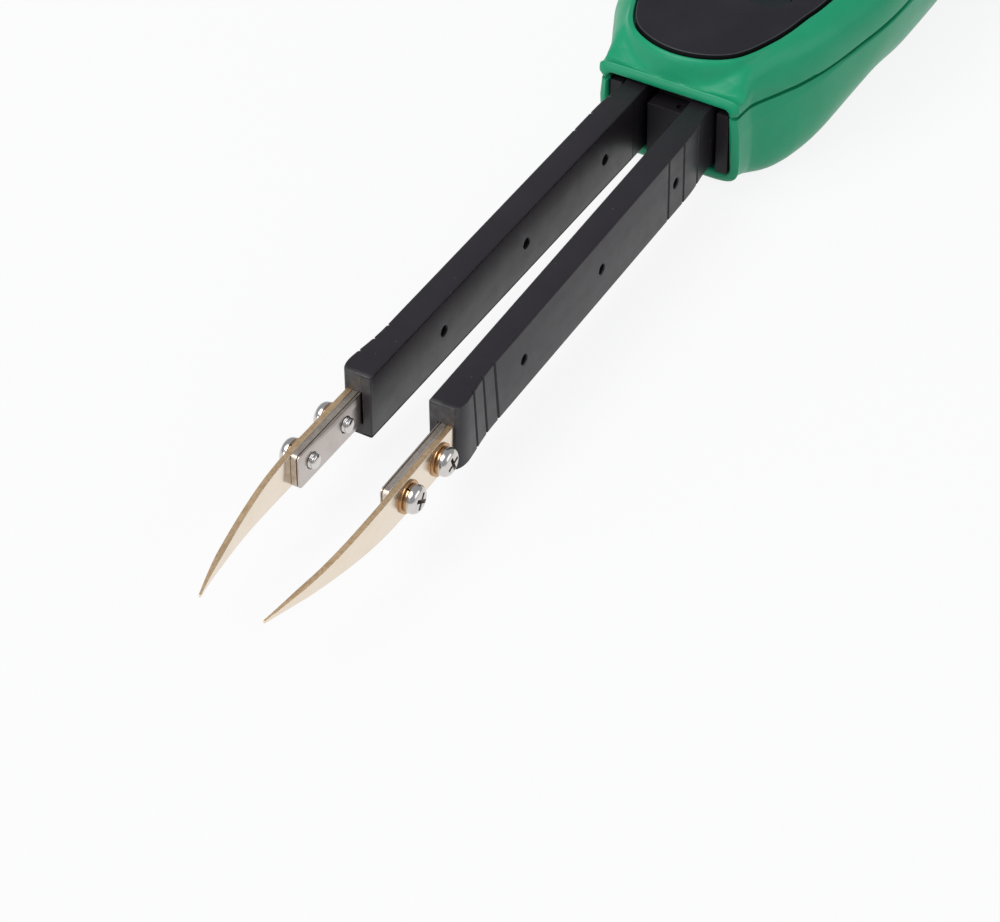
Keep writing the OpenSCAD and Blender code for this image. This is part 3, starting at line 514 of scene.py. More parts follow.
def add(obj, *others):
    return cut(obj, *others, operation="UNION")


def finishes(obj, numbers):
    """Gives each face the material of its number."""
    obj.data.polygons.foreach_set("material_index", np.asarray(numbers).astype(np.int32))
    obj.data.update()


def shade(obj, degrees=32):
    """Smooth faces, with the edges sharper than that angle kept sharp."""
    obj.data.polygons.foreach_set("use_smooth", [True] * len(obj.data.polygons))
    obj.data.set_sharp_from_angle(angle=math.radians(degrees))
    return obj


def dress(obj, body, node, material, degrees=32):
    """Shades a piece, gives it its material, and sets it in the place of its CAD node."""
    shade(obj, degrees)
    obj.data.materials.clear()
    for m in material if isinstance(material, list) else [material]:
        obj.data.materials.append(m)
    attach(obj, body)
    if node:
        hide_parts(node)
    return obj


def box(x0, x1, y0, y1, z0, z1):
    ring = [(y0, z0), (y1, z0), (y1, z1), (y0, z1)]
    return loft([[(x, y, z) for y, z in ring] for x in (x0, x1)])


def rounded(u0, u1, v0, v1, r, steps=5):
    """A rectangle with rounded corners, counter-clockwise, as (u, v) points."""
    corners = ((u1 - r, v0 + r, -90), (u1 - r, v1 - r, 0), (u0 + r, v1 - r, 90), (u0 + r, v0 + r, 180))
    turns = [(u, v, math.radians(a + 90 * k / steps)) for u, v, a in corners for k in range(steps + 1)]
    return np.array([(u + r * math.cos(a), v + r * math.sin(a)) for u, v, a in turns])


def turned(profile, centre, axis, steps=48):
    """A turned shape: (radius, height) pairs round an axis "y" or "z" through a centre."""
    rings = []
    for r, h in profile:
        r = max(r, 1e-4)
        a = np.linspace(0, 2 * math.pi, steps, endpoint=False)
        c, s = r * np.cos(a), r * np.sin(a)
        flat = np.full(steps, h)
        ring = np.stack([c, s, flat] if axis == "z" else [c, flat, s], 1)
        rings.append(ring + np.array(centre))
    return loft(rings)


def drilled(r, low, high, centre, axis="y", steps=32):
    """A plain round cutter from low to high."""
    return turned([(r, low), (r, high)], centre, axis, steps)


def flared(r, low, high, flare, steps=4):
    """Profile of a round cutter from low to high whose upper end widens like a worn edge."""
    rows = [(r, low), (r, high - flare)]
    rows += [(r + flare * c, high - flare + flare * s) for s, c in arc(steps)]
    return rows + [(r + flare, high + 1)]


def stacked(outline, rows):
    """A prism along Z: outline(inset) gives the points, rows are (height, inset)."""
    return loft([at_z(outline(inset), z) for z, inset in rows])


# The case

def case_half(upper, count=300):
    """Rings of the outside of one half of the case, closed along the parting plane."""
    seam_z = PARTING_Z + SEAM_TOP - (0 if upper else SEAM_W)
    rings = []
    for x in case_stations():
        inset = float(quarter(x - FRONT_X, RIM_ROUND))
        opening = SEAM_ROUND + 0.35 * max(1 - (x - FRONT_X) / 1.1, 0) ** 2
        rings.append(half_section(x, inset, upper, count, seam_z, opening))
    return loft(rings)


def whole_section(x, inset, low, high, count=96):
    """Whole closed line of the case at x, drawn in by an inset and kept between two heights."""
    t = np.linspace(0, 2 * math.pi, 1441)[:-1]
    above = np.sin(t) >= 0
    n = np.where(above, curve(ROUND_ABOVE, x), curve(ROUND_BELOW, x))
    h = np.where(above, max(rise(x) - inset, 0.4), max(drop(x) - inset, 0.4))
    y, z = super_ellipse(t, plan(x) - inset, h, n)
    return at_x(x, spaced(np.stack([y, np.clip(PARTING_Z + z, low, high)], 1), count, closed=True))


def cavity():
    rear = 50 + (CASE_L - CASE_WALL - 50.3) * np.sin(np.linspace(0.05, math.pi / 2, 14))
    xs = np.concatenate([np.arange(3.6, 50, 1.6), rear])
    obj = make("cavity", loft([whole_section(x, CASE_WALL, BASE_Z + CASE_WALL, CEILING_Z) for x in xs]))
    cut(obj, box(DOOR_X - 2, CASE_L, -18, 18, BASE_Z - 1, FLOOR_SLAB_Z))
    for side in (1, -1):
        for x, y in CASE_SCREWS:
            cut(obj, drilled(BOSS_R, BASE_Z - 1, RIM_Z, (x, side * y, 0), "z", 48))
    return obj


def mouth_cutter():
    """The opening of the mouth, flared at the rim so that the rim is round all the way."""
    rings = []
    flare = FRONT_X + RIM_ROUND * np.sin(np.linspace(0.1, math.pi / 2, 7))
    for x in [-1.0, FRONT_X, *flare, MOUTH_DEPTH]:
        grow = float(quarter(x - FRONT_X, RIM_ROUND)) if x > FRONT_X else RIM_ROUND
        ring = rounded(
            -MOUTH_HALF_W - grow, MOUTH_HALF_W + grow, MOUTH_LOW_Z - grow, MOUTH_HIGH_Z + grow,
            MOUTH_CORNER_R + grow, 6
        )
        rings.append(np.column_stack([leaning(x, ring[:, 1]), ring]))
    return loft(rings)


def yoke_pockets():
    top = MOUTH_LOW_Z + 0.05
    step = box(*YOKE_STEP_X, -MOUTH_HALF_W, MOUTH_HALF_W, YOKE_LOW_Z, top)
    return step, box(*YOKE_PLATE_X, -YOKE_PLATE_HALF_W, YOKE_PLATE_HALF_W, YOKE_LOW_Z, top)


def parting_lip():
    """The lip inside the parting line, which the light of the seam ends on."""
    xs = np.concatenate([np.arange(1.7, 52, 1.1), 52 + 26.4 * np.sin(np.linspace(0.02, math.pi / 2, 30))])
    side = np.array([(x, plan(x) - LIP_IN) for x in xs])
    outline = np.vstack([side, (side * np.array([1, -1]))[::-1]])
    return loft([at_z(outline, z) for z in (PARTING_Z - SEAM_W, PARTING_Z + SEAM_TOP + 0.05)])


def panel_recess():
    """Cutter for the panel's seat, with the shell's edge round it rounded over."""
    r = PANEL_EDGE_ROUND
    rows = [(PANEL_Z - PANEL_T, 0.0), (RIM_Z - r - 0.05, 0.0)]
    rows += [(RIM_Z - 0.05 - r + r * s, -r * c) for s, c in arc(5)]
    rows.append((RIM_Z + 1, -r))
    return stacked(panel_outline, rows)


def upper_shell():
    obj = make("upper_shell_dress", case_half(True))
    add(obj, parting_lip())
    cut(obj, cavity(), mouth_cutter(), panel_recess())
    slot_w = WINDOW_W / 2 + 0.6
    cut(obj, box(WINDOW_X - 1, WINDOW_X + WINDOW_L + 1, -slot_w, slot_w, CEILING_Z - 0.1, RIM_Z))
    for side in (1, -1):
        profile = flared(BUTTON_HOLE_R, 0, PANEL_Z - PANEL_T, 0.1)
        cut(obj, turned(profile, (BUTTON_X, side * BUTTON_Y, 0), "z", 64))
    return obj


def door_block(gap):
    low, top = BASE_Z - 1, DOOR_TOP_Z + gap
    wide, rear = DOOR_HALF_W + TONGUE_W + gap, CASE_L + 1
    half = DOOR_HALF_W + gap
    under = DOOR_TOP_Z - TONGUE_T - gap
    block = make("door", box(DOOR_X - gap, rear, -half, half, low, top))
    tongue = box(DOOR_X - gap - 0.001, rear, -wide, wide, under, top)
    return add(block, tongue, box(LIP_END_X - gap, rear + 0.001, -wide, wide, low, top))


def lower_shell():
    obj = make("lower_shell_dress", case_half(False))
    cut(obj, cavity(), mouth_cutter(), *yoke_pockets(), door_block(DOOR_GAP))
    cut(obj, drilled(CELL_R + 0.6, BASE_Z, FLOOR_SLAB_Z + 1, (CELL_X, 0, 0), "z", 96))
    r = CASE_HEAD_R + 0.2
    well = [(r + 0.3, BASE_Z - 1), (r, BASE_Z + 0.3), (r, CASE_SCREW_SEAT_Z)]
    for side in (1, -1):
        for x, y in CASE_SCREWS:
            at = (x, side * y, 0)
            cut(obj, turned(well, at, "z", 64), drilled(CASE_HOLE_R, BASE_Z, RIM_Z, at, "z"))
    return obj


def battery_door():
    obj = make("battery_door_dress", case_half(False))
    cut(obj, door_block(0), operation="INTERSECT")
    groove = rounded(-GRIP_HALF_W, GRIP_HALF_W, -GRIP_HALF_L, GRIP_HALF_L, GRIP_HALF_W - 0.01, 6)
    rows = ((BASE_Z - 1, 1.16), (BASE_Z, 1.16), (BASE_Z + 0.12, 1.0), (BASE_Z + 0.35, 0.9))
    for k in range(5):
        x = DOOR_X + GRIP_X + GRIP_PITCH * k
        cut(obj, loft([at_z(groove * share + [x, 0], z) for z, share in rows]))
    return obj


def face_panel():
    f = 0.16
    rows = [(PANEL_Z - PANEL_T, PANEL_GAP)]
    rows += [(PANEL_Z - f + f * s, PANEL_GAP + f * c) for s, c in arc(4, 0)]
    obj = make("face_panel_dress", stacked(panel_outline, rows))

    def window(inset):
        return rounded(
            WINDOW_X + inset, WINDOW_X + WINDOW_L - inset, inset - WINDOW_W / 2, WINDOW_W / 2 - inset,
            WINDOW_CORNER_R - inset, 6
        )

    rows = [
        (PANEL_Z - PANEL_T - 1, 0.0), (PANEL_Z - 0.15, 0.0), (PANEL_Z - 0.05, -0.05), (PANEL_Z, -0.15),
        (PANEL_Z + 1, -0.2)
    ]
    cut(obj, stacked(window, rows))
    for side in (1, -1):
        profile = flared(BUTTON_HOLE_R, 0, PANEL_Z, 0.18)
        cut(obj, turned(profile, (BUTTON_X, side * BUTTON_Y, 0), "z", 72))
    return obj


def word(side):
    return "left" if side > 0 else "right"


def button(side):
    """A dished cap with a rounded edge, on the collar that the shell keeps in."""
    cap_r = BUTTON_HOLE_R - CAP_FIT
    profile = [(0, BUTTON_LOW_Z), (cap_r + 1, BUTTON_LOW_Z), (cap_r + 1, CEILING_Z), (cap_r, CEILING_Z)]
    profile += [(cap_r - CAP_EDGE * c, BUTTON_TOP_Z - CAP_EDGE * (1 - s)) for s, c in arc(5, 0)]
    dish_z = BUTTON_TOP_Z + DISH_R - DISH_DEPTH
    dish_half_w = math.sqrt(DISH_R**2 - (DISH_R - DISH_DEPTH) ** 2)
    for k in range(9):
        r = dish_half_w * (1 - k / 8)
        profile.append((r, dish_z - math.sqrt(DISH_R**2 - r * r)))
    return make(f"{word(side)}_button_dress", turned(profile, (BUTTON_X, side * BUTTON_Y, 0), "z", 72))


# Arms

def arm_place(points):
    """From the arm's own frame to the case: turned outwards about its pivot."""
    p = np.array(points, float) - [PIVOT_X, EYE_Y, 0]
    c, s = math.cos(-ARM_SPREAD), math.sin(-ARM_SPREAD)
    x, y = p[:, 0] * c - p[:, 1] * s, p[:, 0] * s + p[:, 1] * c
    return np.column_stack([x + PIVOT_X, y + PIVOT_Y, p[:, 2]])


def arm_part(name, shape, side):
    return make(name, shape, arm_place, flip=side < 0)


def arm_cut(obj, side, *shapes):
    """An arm's piece with shapes of the arm's own frame cut away."""
    return cut(obj, *[arm_part("cutter", shape, side) for shape in shapes])


def arm_body():
    run = np.concatenate([
        0.9 * (1 - np.cos(np.linspace(0, math.pi / 2, 14))), np.arange(1.05, 9, 0.25),
        np.arange(9.5, 58, 2.0), np.arange(58, 71, 0.4), np.arange(71.5, 80.8, 2.0), [ARM_L + ARM_TAIL_X]
    ])
    rings = []
    for d in run:
        end = float(quarter(d, END_ROUND))
        inner = float(quarter(d, INNER_END_ROUND))
        outer = curve(ARM_OUTER, d) - end
        rings.append(at_x(d - ARM_L, rounded(inner, outer, end, ARM_H - end, ARM_EDGE_ROUND, 5)))
    return loft(rings)


def groove(x, lean):
    """A small V-groove up the outer face of an arm, whose lower end lies further back by the lean."""
    w, d = 0.31, 0.46
    rings = []
    for z in np.linspace(-1, ARM_H + 1, 8):
        at = x + lean * (1 - z / ARM_H)
        y = outer_face(at)
        rings.append([(at - w, y + 0.05, z), (at, y - d, z), (at + w, y + 0.05, z), (at, y + 1, z)])
    return loft(rings)


def outer_face(x):
    return curve(ARM_OUTER, x + ARM_L)


def through_holes():
    shapes = []
    for x in HOLE_X:
        y = outer_face(x)
        profile = [
            (HOLE_R + 0.15, -0.5), (HOLE_R + 0.12, 0.0), (HOLE_R, 0.12), (HOLE_R, y - 0.12),
            (HOLE_R + 0.12, y), (HOLE_R + 0.15, y + 0.5)
        ]
        shapes.append(turned(profile, (x, 0, HOLE_Z), "y", 32))
    return shapes


def arm_channel(side):
    obj = arm_part(f"{word(side)}_arm_channel_dress", arm_body(), side)
    pivot = (PIVOT_X, EYE_Y, 0)
    web = np.array([
        (PIVOT_X - 5.5, ARM_T - 0.5), (PIVOT_X + EYE_R, ARM_T - 0.5), (PIVOT_X + EYE_R, EYE_Y),
        (PIVOT_X - EYE_R, EYE_Y + 0.6)
    ])
    add(obj, arm_part("eye", drilled(EYE_R, 0.0, ARM_H, pivot, "z", 48), side))
    add(obj, arm_part("web", loft([at_z(web, z) for z in (0.001, ARM_H - 0.001)]), side))
    front, low, high = -ARM_L - 1, STRIP_Z - SLIDE_FIT, STRIP_TOP_Z + SLIDE_FIT
    cover_edge = COVER_EDGE - SLIDE_FIT
    shapes = [
        box(front, COVER_END_X + SLIDE_FIT, -1, COVER_T + SLIDE_FIT, cover_edge, ARM_H - cover_edge),
        box(front, ARM_TAIL_X + 1, 0.2, BLADE_Y, low, high),
        box(front, BLADE_BASE_X + 0.1, 1, BLADE_Y + BLADE_T + 0.02, low, high),
        drilled(PIN_HOLE_R, -1, ARM_H + 1, pivot, "z"),
        drilled(SPRING_HOLE_R, 2.7, 8, (SPRING_X, 0, SPRING_Z)),
    ]
    shapes += through_holes()
    shapes += [groove(x, TIP_GROOVE_LEAN) for x in TIP_GROOVE_X] + [groove(x, 0) for x in ROOT_GROOVE_X]
    return arm_cut(obj, side, *shapes)


def arm_cover(side):
    """The inner plate of an arm, with its end rounded over towards the inner face."""
    soft = 0.07

    def outline(inset):
        bevel, r = 0.08, INNER_END_ROUND - inset
        x0, x1, y1 = -ARM_L + inset, COVER_END_X - inset, COVER_T - inset
        turn = np.linspace(math.pi, 1.5 * math.pi, 14)
        pts = [(x0 + r + r * math.cos(a), inset + r + r * math.sin(a)) for a in turn]
        pts += [(x, inset) for x in np.linspace(x0 + INNER_END_ROUND + 1, x1 - bevel - 1, 20)]
        pts += [(x1 - bevel, inset), (x1, inset + bevel), (x1, y1 - bevel), (x1 - bevel, y1)]
        pts += [(x, y1) for x in np.linspace(x1 - 1, x0 + 1, 20)]
        return np.array(pts + [(x0, y1)])

    low, high = COVER_EDGE + soft, ARM_H - COVER_EDGE - soft
    rows = [
        (low, soft), (low + 0.02, 0.02), (low + soft, 0.0),
        (high - soft, 0.0), (high - 0.02, 0.02), (high, soft)
    ]
    obj = arm_part(f"{word(side)}_arm_cover_dress", stacked(outline, rows), side)
    slot = box(-ARM_L - 1, -ARM_L + 3, 1.14, 2, STRIP_Z - 0.1, STRIP_TOP_Z + 0.1)
    return arm_cut(obj, side, slot, *through_holes())


def strip_outline(inset):
    """Side view of an electrode strip as (x, z) points, with rounded front corners."""
    front, low, high = STRIP_FRONT_X + inset, STRIP_Z + inset, STRIP_TOP_Z - inset
    r = STRIP_CORNER_R
    turn = np.linspace(math.pi / 2, 0, 8)
    run = np.linspace(front + 1.5, ARM_TAIL_X - 0.6, 24)
    pts = [(front + r - r * math.sin(a), low + r - r * math.cos(a)) for a in turn]
    pts += [(x, low) for x in run]
    pts += [(STRIP_TAIL_X - inset, z) for z in (STRIP_Z + 1.5, STRIP_TOP_Z - 1.5)]
    pts += [(x, high) for x in run[::-1]]
    pts += [(front + r - r * math.sin(a), high - r + r * math.cos(a)) for a in turn[::-1]]
    return np.array(pts)


def across(outline, rows):
    """A prism along Y: outline(inset) gives (x, z) points, rows are (y, inset)."""
    rings = []
    for y, inset in rows:
        pts = outline(inset)
        rings.append(np.column_stack([pts[:, 0], np.full(len(pts), y), pts[:, 1]]))
    return loft(rings)


def electrode_strip(side):
    """Two bonded layers of strip with rounded edges and a fine line between them."""
    y, e, split = STRIP_Y, STRIP_EDGE, STRIP_Y + STRIP_SPLIT
    rows = [
        (y, e), (y + 0.02, 0.02), (y + e, 0.0), (split - 0.1, 0.0), (split - 0.07, 0.2),
        (split + 0.03, 0.2), (split + 0.06, 0.0), (y + STRIP_T - e, 0.0), (y + STRIP_T, e)
    ]
    obj = arm_part(f"{word(side)}_electrode_strip_dress", across(strip_outline, rows), side)
    profile = [(SCREW_R + 0.3, 0), (SCREW_R + 0.2, y), (SCREW_R + 0.1, y + 0.08), (SCREW_R + 0.08, 3)]
    holes = [turned(profile, (x, 0, SCREW_Z), "y", 40) for x in SCREW_X]
    holes += [drilled(HOLE_R + 0.15, 0, 3, (x, 0, HOLE_Z)) for x in HOLE_X]
    return arm_cut(obj, side, *holes)


def blade_mid(x):
    run = max(BEND_X - x, 0)
    return BLADE_Y + BLADE_T / 2 - run * run / (2 * BEND_R)


def blade_half_t(x):
    share, run = TIP_THINNING
    return BLADE_T / 2 * min(1, share + (1 - share) * (x + TIP_REACH) / run)


def tip_blade(side):
    """A stamped blade that narrows to a fine point and bends towards its twin."""
    xs = np.concatenate([
        -TIP_REACH + TIP_ROUND * np.linspace(0, 1, 4), np.linspace(-TIP_REACH + 0.3, -72, 90),
        np.linspace(-71.5, BLADE_BASE_X, 12)
    ])
    rings = []
    for x in xs:
        end = 0.6 * float(quarter(x + TIP_REACH, TIP_ROUND))
        mid, half = blade_mid(x), blade_half_t(x) - end
        low, high = curve(BLADE_LOWER, x) + end, curve(BLADE_UPPER, x) - end
        edge = min(0.07, half * 0.4, (high - low) * 0.3)
        rings.append(at_x(x, rounded(mid - half, mid + half, low, high, edge, 4)))
    obj = arm_part(f"{word(side)}_tip_blade_dress", loft(rings), side)
    holes = [drilled(WASHER_HOLE_R, 1, 5, (x, 0, SCREW_Z)) for x in SCREW_X]
    return arm_cut(obj, side, *holes)


def head_height(r):
    """Height of the domed head over its seat at a distance from its middle."""
    k = np.clip((r - (HEAD_R - HEAD_ROUND)) / HEAD_ROUND, 0, 1)
    return HEAD_SIDE + (HEAD_H - HEAD_SIDE) * np.sqrt(1 - k * k)


def recess_finish(obj, side):
    """The second, darker material on the faces of the cross recesses, which is painted shade."""
    middle = np.array([f.center for f in obj.data.polygons]) / MM - MOUTH
    middle[:, 1] *= side
    away = middle[:, :2] - [PIVOT_X, PIVOT_Y]
    c, s = math.cos(ARM_SPREAD), math.sin(ARM_SPREAD)
    x = away[:, 0] * c - away[:, 1] * s + PIVOT_X
    y = away[:, 0] * s + away[:, 1] * c + EYE_Y - BLADE_Y - BLADE_T - HEAD_SEAT
    r = np.min([np.hypot(x - at, middle[:, 2] - SCREW_Z) for at in SCREW_X], axis=0)
    finishes(obj, (y > HEAD_SIDE) & (r < CROSS_HALF_L + 0.13) & (y < head_height(r) - 0.04))


def tip_screws(side):
    """Two pan-head screws: domed head, tapered cross recess, plain shank and domed end."""
    face = BLADE_Y + BLADE_T
    top = face + HEAD_SEAT + HEAD_H
    reach = BLADE_T + 0.02 + STRIP_T + SCREW_END
    profile = [(0, -reach)] + [(SCREW_R * s**0.7, -reach + 0.4 * c) for s, c in arc(6)]
    for k in range(3):
        z = -reach + 0.45 + 0.2 * k
        profile += [(SCREW_R, z), (SCREW_R - 0.09, z + 0.1)]
    profile += [(SCREW_R, -reach + 1.1), (SCREW_R, HEAD_SEAT + 0.02), (HEAD_R - 0.1, HEAD_SEAT + 0.0)]
    profile += [(HEAD_R - 0.1 + 0.1 * s, HEAD_SEAT + 0.1 * c) for s, c in arc(3)]
    side_top, dome = HEAD_SEAT + HEAD_SIDE, HEAD_H - HEAD_SIDE
    profile += [(HEAD_R - HEAD_ROUND * c, side_top + dome * s) for s, c in arc(10, 0)]
    profile = [(r, face + h) for r, h in profile + [(0, HEAD_SEAT + HEAD_H)]]
    pieces = []
    for number, x in enumerate(SCREW_X):
        screw = turned(profile, (x, 0, SCREW_Z), "y", 56)
        screw = arm_part(f"{word(side)}_tip_screws_dress" if number == 0 else "screw", screw, side)
        turn = math.radians(20 + 37 * number)
        for a in (turn, turn + math.pi / 2):
            c, s = math.cos(a), math.sin(a)
            rings = []
            for y, w, l in ((-0.75, 0.12, 0.5), (-0.05, 0.25, 1.08), (0.6, CROSS_HALF_W, CROSS_HALF_L)):
                corners = ((-l, -w), (l, -w), (l, w), (-l, w))
                rings.append([(u * c - v * s + x, top + y, u * s + v * c + SCREW_Z) for u, v in corners])
            arm_cut(screw, side, loft(rings))
        pieces.append(screw)
    return add(*pieces)


def ring_piece(name, side, low, thick, outer, inner, gap_at=None):
    """Two washers on the tip screws, with rounded edges, plain or split."""
    face = BLADE_Y + BLADE_T + low
    section = rounded(inner, outer, 0, thick, WASHER_EDGE, 3)
    pieces = []
    for number, x in enumerate(SCREW_X):
        if gap_at is None:
            angles = np.linspace(0, 2 * math.pi, 72, endpoint=False)
        else:
            start = gap_at + number * 1.3
            angles = np.linspace(start + 0.07, start + 2 * math.pi - 0.07, 64)
        rings = []
        for k, a in enumerate(angles):
            lift = 0.0 if gap_at is None else 0.05 * (k / (len(angles) - 1) - 0.5)
            y = face + section[:, 1] * (1 - abs(lift)) + max(lift, 0) * 0.5
            u, v = section[:, 0] * math.cos(a), section[:, 0] * math.sin(a)
            rings.append(np.column_stack([x + u, y, SCREW_Z + v]))
        shape = loft(rings, endless=gap_at is None)
        pieces.append(arm_part(name if number == 0 else "ring", shape, side))
    return add(*pieces)


# Materials

# Where the arms' front ends stop, in metres in the part's frame; the wear and painted light of the end
# faces keep to it.
ARM_END = -0.0541
# Streaks of plating with no direction.
EVEN = (1.0, 1.0, 1.0)


def linear(r, g, b):
    """An sRGB colour of 0 to 255 as the linear colour that a shader takes."""
    def one(v):
        v /= 255
        return v / 12.92 if v <= 0.04045 else ((v + 0.055) / 1.055) ** 2.4
    return (one(r), one(g), one(b), 1.0)


def add_node(tree, kind, inputs=None, **settings):
    """A shader node whose inputs are set to values or linked to other nodes' outputs."""
    node = tree.nodes.new(kind)
    for key, value in settings.items():
        setattr(node, key, value)
    for key, value in (inputs or {}).items():
        if isinstance(value, bpy.types.NodeSocket):
            tree.links.new(value, node.inputs[key])
        else:
            node.inputs[key].default_value = value
    return node


def empty_tree(owner):
    owner.use_nodes = True
    owner.node_tree.nodes.clear()
    return owner.node_tree


class Finish:
    """A node material with one Principled shader, built up from small layers."""

    def __init__(self, name, colour, rough, metallic=0.0, level=0.5, transmission=0.0, ior=1.45):
        self.material = bpy.data.materials.new(name)
        self.tree = empty_tree(self.material)
        self.shader = self.node("ShaderNodeBsdfPrincipled", {
            "Base Color": colour, "Roughness": rough, "Metallic": metallic, "Specular IOR Level": level,
            "Transmission Weight": transmission, "IOR": ior
        })
        self.node("ShaderNodeOutputMaterial", {0: self.shader.outputs[0]})
        self.colour, self.rough = colour, rough
        self.colour_out = self.rough_out = self.normal_out = None
        self.where = self.node("ShaderNodeTexCoord").outputs["Object"]

    def node(self, kind, inputs=None, **settings):
        return add_node(self.tree, kind, inputs, **settings)

    def noise(self, scale, detail, rough, stretch=None):
        """Noise with that many features in a metre, drawn out along an axis if asked."""
        vector = self.where
        if stretch:
            vector = self.node("ShaderNodeMapping", {"Vector": vector, "Scale": stretch}).outputs[0]
        inputs = {"Vector": vector, "Scale": scale, "Detail": detail, "Roughness": rough}
        return self.node("ShaderNodeTexNoise", inputs).outputs[0]

    def spread(self, value, low, high, to_low=0.0, to_high=1.0):
        return self.node("ShaderNodeMapRange", {
            "Value": value, "From Min": low, "From Max": high, "To Min": to_low, "To Max": to_high
        }, interpolation_type="SMOOTHSTEP").outputs[0]

    def times(self, a, b):
        return self.node("ShaderNodeMath", {0: a, 1: b}, operation="MULTIPLY").outputs[0]

    def tint(self, mask, colour):
        """Colour changes to another where the mask is 1."""
        before = self.colour if self.colour_out is None else self.colour_out
        mix = self.node("ShaderNodeMix", {0: mask, 6: before, 7: colour}, data_type="RGBA")
        self.colour_out = mix.outputs[2]
        return self

    def mottle(self, colour, scale, detail, rough, low, high, most=1.0, stretch=None):
        """Patches of an sRGB colour, where noise is between low and high, up to that share."""
        patches = self.spread(self.noise(scale, detail, rough, stretch), low, high, 0.0, most)
        return self.tint(patches, linear(*colour))

    def roughen(self, value, amount):
        """Roughness moves up and down by that amount as the value goes from 0 to 1."""
        base = self.rough if self.rough_out is None else self.rough_out
        moved = self.node("ShaderNodeMapRange", {
            "Value": value, "From Min": 0.0, "From Max": 1.0, "To Min": -amount, "To Max": amount
        }).outputs[0]
        total = self.node("ShaderNodeMath", {0: moved, 1: base}, operation="ADD", use_clamp=True)
        self.rough_out = total.outputs[0]
        return self

    def soft_edges(self, radius):
        """Edges shade as if they were broken by that radius in metres."""
        self.normal_out = self.node("ShaderNodeBevel", {"Radius": radius}, samples=6).outputs[0]
        return self

    def edge_mask(self, radius):
        """1 along the outer and inner edges of a piece, 0 on its flats."""
        bevel = self.node("ShaderNodeBevel", {"Radius": radius}, samples=6).outputs[0]
        geometry = self.node("ShaderNodeNewGeometry").outputs["Normal"]
        dot = self.node("ShaderNodeVectorMath", {0: bevel, 1: geometry}, operation="DOT_PRODUCT")
        away = self.node("ShaderNodeMath", {0: 1.0, 1: dot.outputs["Value"]}, operation="SUBTRACT")
        return self.spread(away.outputs[0], 0.02, 0.25)

    def bump(self, height, depth):
        """Surface relief of that depth in metres."""
        inputs = {"Height": height, "Distance": depth, "Strength": 1.0}
        if self.normal_out is not None:
            inputs["Normal"] = self.normal_out
        self.normal_out = self.node("ShaderNodeBump", inputs).outputs[0]
        return self

    def done(self):
        layers = {"Base Color": self.colour_out, "Roughness": self.rough_out, "Normal": self.normal_out}
        for key, socket in layers.items():
            if socket is not None:
                self.tree.links.new(socket, self.shader.inputs[key])
        return self.material


def moulded(name, colour, lighter, darker, rough, level, grain=5200.0, depth=3e-6, edges=0.0):
    """Moulded plastic in sRGB colours: fine spark-eroded grain and slow mottling."""
    f = Finish(name, linear(*colour), rough, level=level)
    if edges:
        f.soft_edges(edges)
    f.mottle(lighter, 130, 4, 0.6, 0.35, 0.75)
    f.mottle(darker, grain / 3, 2, 0.7, 0.62, 0.9, 0.55)
    f.roughen(f.noise(420, 4, 0.6), 0.07)
    f.bump(f.noise(grain, 2, 0.5), depth)
    return f


def green_plastic():
    f = moulded("green_plastic", (28, 152, 108), (34, 157, 113), (22, 142, 99), 0.34, 0.28, depth=2.4e-6)
    f.mottle((66, 166, 130), 900, 5, 0.75, 0.66, 0.74, 0.22, stretch=(0.25, 1.0, 1.0))
    f.bump(f.noise(260, 2, 0.5), 1.5e-5)
    return f.done()


def panel_plastic():
    f = moulded("panel_plastic", (37, 36, 41), (42, 41, 46), (31, 30, 35), 0.58, 0.22, 9000, 3.5e-6)
    return f.done()


def arm_plastic(name="arm_plastic", warm=0):
    """The arms' plastic: chipped edges, dust, and a worn end face with painted light above the strip."""
    f = moulded(name, (32 + warm, 28, 34), (37 + warm, 33, 39), (26 + warm, 23, 28), 0.42, 0.46)
    edge = f.edge_mask(1.6e-4)
    chips = f.times(edge, f.spread(f.noise(2600, 4, 0.7), 0.45, 0.62, 0.0, 0.5))
    f.tint(chips, linear(112, 109, 108))
    place = f.node("ShaderNodeSeparateXYZ", {0: f.where}).outputs
    f.tint(f.times(edge, f.spread(place[0], ARM_END, ARM_END + 9e-4, 0.75, 0.0)), linear(112, 110, 108))
    dust = f.spread(f.noise(2200, 1, 0.4), 0.76, 0.8, 0.0, 0.5)
    f.tint(f.times(dust, f.spread(f.noise(160, 2, 0.5), 0.5, 0.62)), linear(120, 120, 118))
    # Painted light: the lighter, worn end face is kept to above the strip, where light falls, with only a
    # trace below it.
    painted_light_above_slot = f.spread(place[2], 0.0108, 0.012, 0.12, 1.0)
    end = f.times(f.spread(place[0], ARM_END, ARM_END + 5e-4, 1.0, 0.0), painted_light_above_slot)
    f.tint(f.times(end, f.spread(f.noise(1100, 4, 0.6), 0.3, 0.7, 0.3, 0.9)), linear(74, 73, 74))
    streak = f.noise(300, 5, 0.65, stretch=(0.12, 1.0, 1.0))
    f.roughen(streak, 0.08)
    f.bump(streak, 6e-6)
    return f.done()


def dark_plastic(name, colour, rough=0.5, level=0.3):
    lighter, darker = [v + 7 for v in colour], [max(v - 6, 0) for v in colour]
    return moulded(name, colour, lighter, darker, rough, level, edges=1.5e-4).done()


